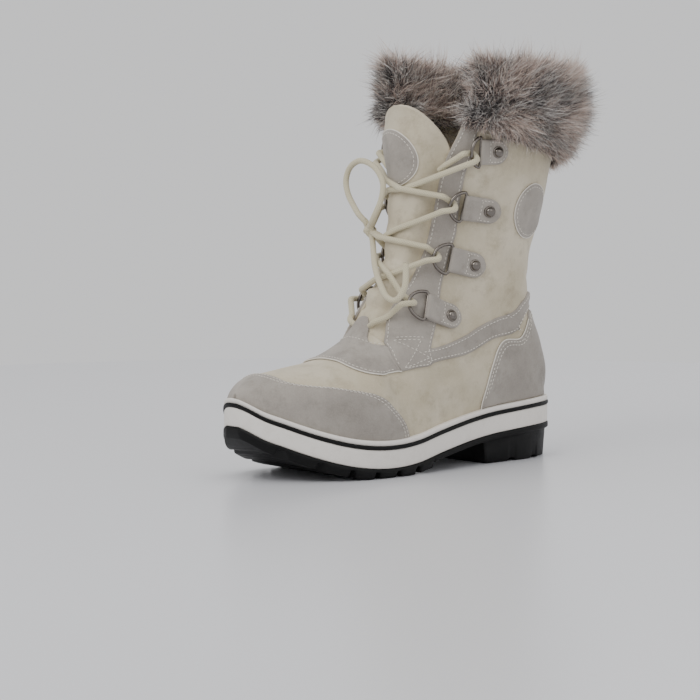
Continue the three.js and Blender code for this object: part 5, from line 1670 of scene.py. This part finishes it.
def hair_mesh(name, root, direction, bend, length, width, colors_root, colors_tip, segments=3):
    """Joined ribbons, one for each hair: flat, tapered and bent."""
    count = len(root)
    across = unit(np.cross(direction, RNG.normal(size=(count, 3))))
    rows, colors = [], []
    for t in np.linspace(0, 1, segments + 1):
        centre = root + direction * (length * t)[:, None] + bend * (length * t * t)[:, None]
        half = (width * (1 - 0.72 * t) / 2)[:, None]
        light = min(1.0, t * 1.45) ** 1.2
        shade = colors_root * (1 - light) + colors_tip * light
        if t < 1:
            rows += [centre - across * half, centre + across * half]
            colors += [shade, shade]
        else:
            rows.append(centre)
            colors.append(shade)
    per = len(rows)
    verts = np.stack(rows, 1).reshape(-1, 3)
    shades = np.stack(colors, 1).reshape(-1, 3)
    first = np.arange(count)[:, None] * per
    quads = np.concatenate([first + 2 * i + [0, 1, 3, 2] for i in range(segments - 1)])
    tips = first + 2 * segments + [-2, -1, 0]
    verts = (verts + SHIFT) * MM
    mesh = bpy.data.meshes.new(name)
    mesh.vertices.add(len(verts))
    mesh.vertices.foreach_set("co", verts.astype(np.float32).ravel())
    loops = np.concatenate([quads.ravel(), tips.ravel()]).astype(np.int32)
    mesh.loops.add(len(loops))
    mesh.loops.foreach_set("vertex_index", loops)
    sizes = np.concatenate([np.full(len(quads), 4), np.full(len(tips), 3)])
    starts = np.concatenate([[0], np.cumsum(sizes)[:-1]]).astype(np.int32)
    mesh.polygons.add(len(sizes))
    mesh.polygons.foreach_set("loop_start", starts)
    mesh.update(calc_edges=True)
    mesh.validate()
    mesh.polygons.foreach_set("use_smooth", [True] * len(mesh.polygons))
    layer = mesh.color_attributes.new("hair", "FLOAT_COLOR", "POINT")
    shades = np.column_stack([shades, np.ones(len(shades))])
    layer.data.foreach_set("color", shades.astype(np.float32).ravel())
    return add_object(name, mesh)


def tones(*texts):
    return np.array([hex_linear(text)[:3] for text in texts])


DARK_ROOTS = tones("231f20", "2f2a2b", "3f3838", "191617")
SMOKE_TIPS = tones("827d7b", "4c4748", "b2aca8", "2f2b2c", "d6d1cc")
BLUSH_TIPS = tones("ead6c8", "dcc4b7", "cbb5aa", "f2e5da", "a89790")
FROST = tones("f4efe9")[0]
# How far back and how high the tip of a hair may reach
FUR_BACK, FUR_TOP = 169.5, 312.0


def fur_hairs(name, tufts, per_tuft, inside, long, seed):
    """Tufts of hair that share a lean, a curl and a colour. Hairs at the throat lean out over its edge."""
    rng = np.random.default_rng(seed)
    count = tufts * per_tuft
    k = 24.45 + 4.05 * rng.random(tufts) ** (1.0 if inside else 0.9)
    f = rng.uniform(-1.03, 1.03, tufts)
    v = fur_edge_v(k) * f
    kk = np.clip(np.repeat(k, per_tuft) + rng.normal(0, 0.16, count), 24.4, 28.55)
    vv = np.repeat(v, per_tuft) + rng.normal(0, 0.02, count)
    limit = fur_edge_v(kk)
    at_edge = ease((np.abs(vv) / limit - 0.90) / 0.08)
    vv = np.clip(vv, -limit, limit)
    p, n = base(kk, vv), normal(kk, vv)
    up = unit(base(kk + 0.05, vv) - p)
    onward = unit(base(kk, vv + 0.01 * np.sign(vv)) - p)
    around = np.cross(up, n)
    height = (kk - 24.4) / 4.1
    depth = np.where(rng.random(count) < at_edge, rng.random(count), 1.0)
    if inside:
        root = p - n * (fur_in(kk) * BED * 0.8 * depth)[:, None]
        direction = -n * 0.7 + up * (-0.6 + 2.1 * height)[:, None]
    else:
        root = p + n * (fur_out(kk) * BED * 0.85 * depth)[:, None]
        direction = n + up * (-0.55 + 2.2 * height)[:, None]
    comb = np.repeat(rng.normal(0, 0.45, (tufts, 2)), per_tuft, 0)
    direction = direction + around * comb[:, :1] + up * comb[:, 1:] * 0.7
    direction = direction + onward * (at_edge * 1.3)[:, None] + rng.normal(0, 0.17, p.shape)
    direction = unit(direction)
    bend = np.repeat(rng.normal(0, 0.35, (tufts, 3)), per_tuft, 0) + rng.normal(0, 0.1, p.shape)
    bend[:, 2] -= 0.07
    length = long * np.repeat(rng.uniform(0.75, 1.25, tufts), per_tuft) * rng.uniform(0.65, 1.15, count)
    length *= np.clip(0.66 + 0.34 * curve(FUR, kk)[..., 0], 0.5, 1) + 0.40 * ease((height - 0.62) / 0.3)
    length *= (1 - 0.35 * at_edge * (1 - height)) * (0.76 + 0.24 * ease(height / 0.32))
    for axis, limit in ((1, FUR_BACK - SHIFT[1]), (2, FUR_TOP)):
        reach = (direction + bend)[:, axis] * length
        spare = limit - root[:, axis]
        length *= np.where(reach > spare, spare / np.maximum(reach, 0.1), 1.0)
    width = rng.uniform(0.34, 0.64, count)
    root_color = DARK_ROOTS[rng.integers(0, len(DARK_ROOTS), tufts)].repeat(per_tuft, 0)
    root_color = root_color * (2.2 if inside else 1.0)
    cloud = np.sin(v * 23.0 + 1.0) + np.sin(k * 3.1 + v * 9.0) + 0.9 * rng.normal(size=tufts)
    blush = np.repeat(cloud > (-0.8 if inside else 0.15), per_tuft)[:, None]
    rim = np.repeat((k < 24.9) | (k > 27.8), per_tuft)[:, None] & (rng.random((count, 1)) < 0.7)
    shared = np.repeat(rng.integers(0, len(SMOKE_TIPS), tufts), per_tuft)
    own = rng.integers(0, len(SMOKE_TIPS), count)
    smoke = SMOKE_TIPS[np.where(rng.random(count) < 0.7, shared, own)]
    warm = BLUSH_TIPS[rng.integers(0, len(BLUSH_TIPS), count)]
    tip_color = np.where(blush | rim, warm, smoke)
    frosted = rng.random(count) < 0.2
    tip_color[frosted] = FROST
    return hair_mesh(name, root, direction, bend, length, width, root_color, tip_color)


THIN = 1.0
HAIRS_PER_TUFT = 24
for name, tufts, inside, long, seed in (
    ("fur_outer_a", 1600, False, 13.2, 11), ("fur_outer_b", 1600, False, 11.0, 12),
    ("fur_inner", 1200, True, 12.0, 13),
):
    dress(fur_hairs(name, int(tufts * THIN), HAIRS_PER_TUFT, inside, long, seed), HAIR, "fur")


# Stage and light
def stage(radius=900, depth=0.2, sides=160):
    """A round floor a little under the boot."""
    n = Nodes("studio_floor")
    tint = n.mix(n.noise(0.6, 2, 0.5), hex_linear("dcdcdf"), hex_linear("d3d4d8"))
    n.shader.inputs["Specular IOR Level"].default_value = 0.35
    turn = np.linspace(0, 2 * np.pi, sides, endpoint=False)
    rim = np.column_stack([radius * np.cos(turn), radius * np.sin(turn), np.full(sides, -depth)])
    floor = make_mesh("floor", rim, [tuple(range(sides))])
    floor.data.materials.append(n.set(base_color=tint, roughness=0.28))


LIGHTS_CENTRE = Vector((0, 0, 0.12))


def light(name, azimuth, elevation, distance, size, power_watts, color=(1, 1, 1)):
    data = bpy.data.lights.new(name, "AREA")
    data.size = size
    data.energy = power_watts
    data.color = color
    obj = add_object(name, data)
    back = toward(azimuth, elevation)
    obj.location = LIGHTS_CENTRE + back * distance
    obj.rotation_mode = "QUATERNION"
    obj.rotation_quaternion = back.to_track_quat("Z", "Y")


stage()
light("key", 12, 45, 1.6, 0.9, 9.0, (1.0, 0.99, 0.975))
light("fill", 95, 25, 1.8, 1.2, 3.0)
light("top", 60, 85, 1.6, 1.6, 4.5)
light("rim", 205, 40, 1.6, 1.2, 4.5)
world_data = bpy.data.worlds.new("studio")
world_data.use_nodes = True
sky = world_data.node_tree.nodes["Background"].inputs
sky["Color"].default_value = (0.90, 0.90, 0.91, 1)
sky["Strength"].default_value = 0.92
bpy.context.scene.world = world_data
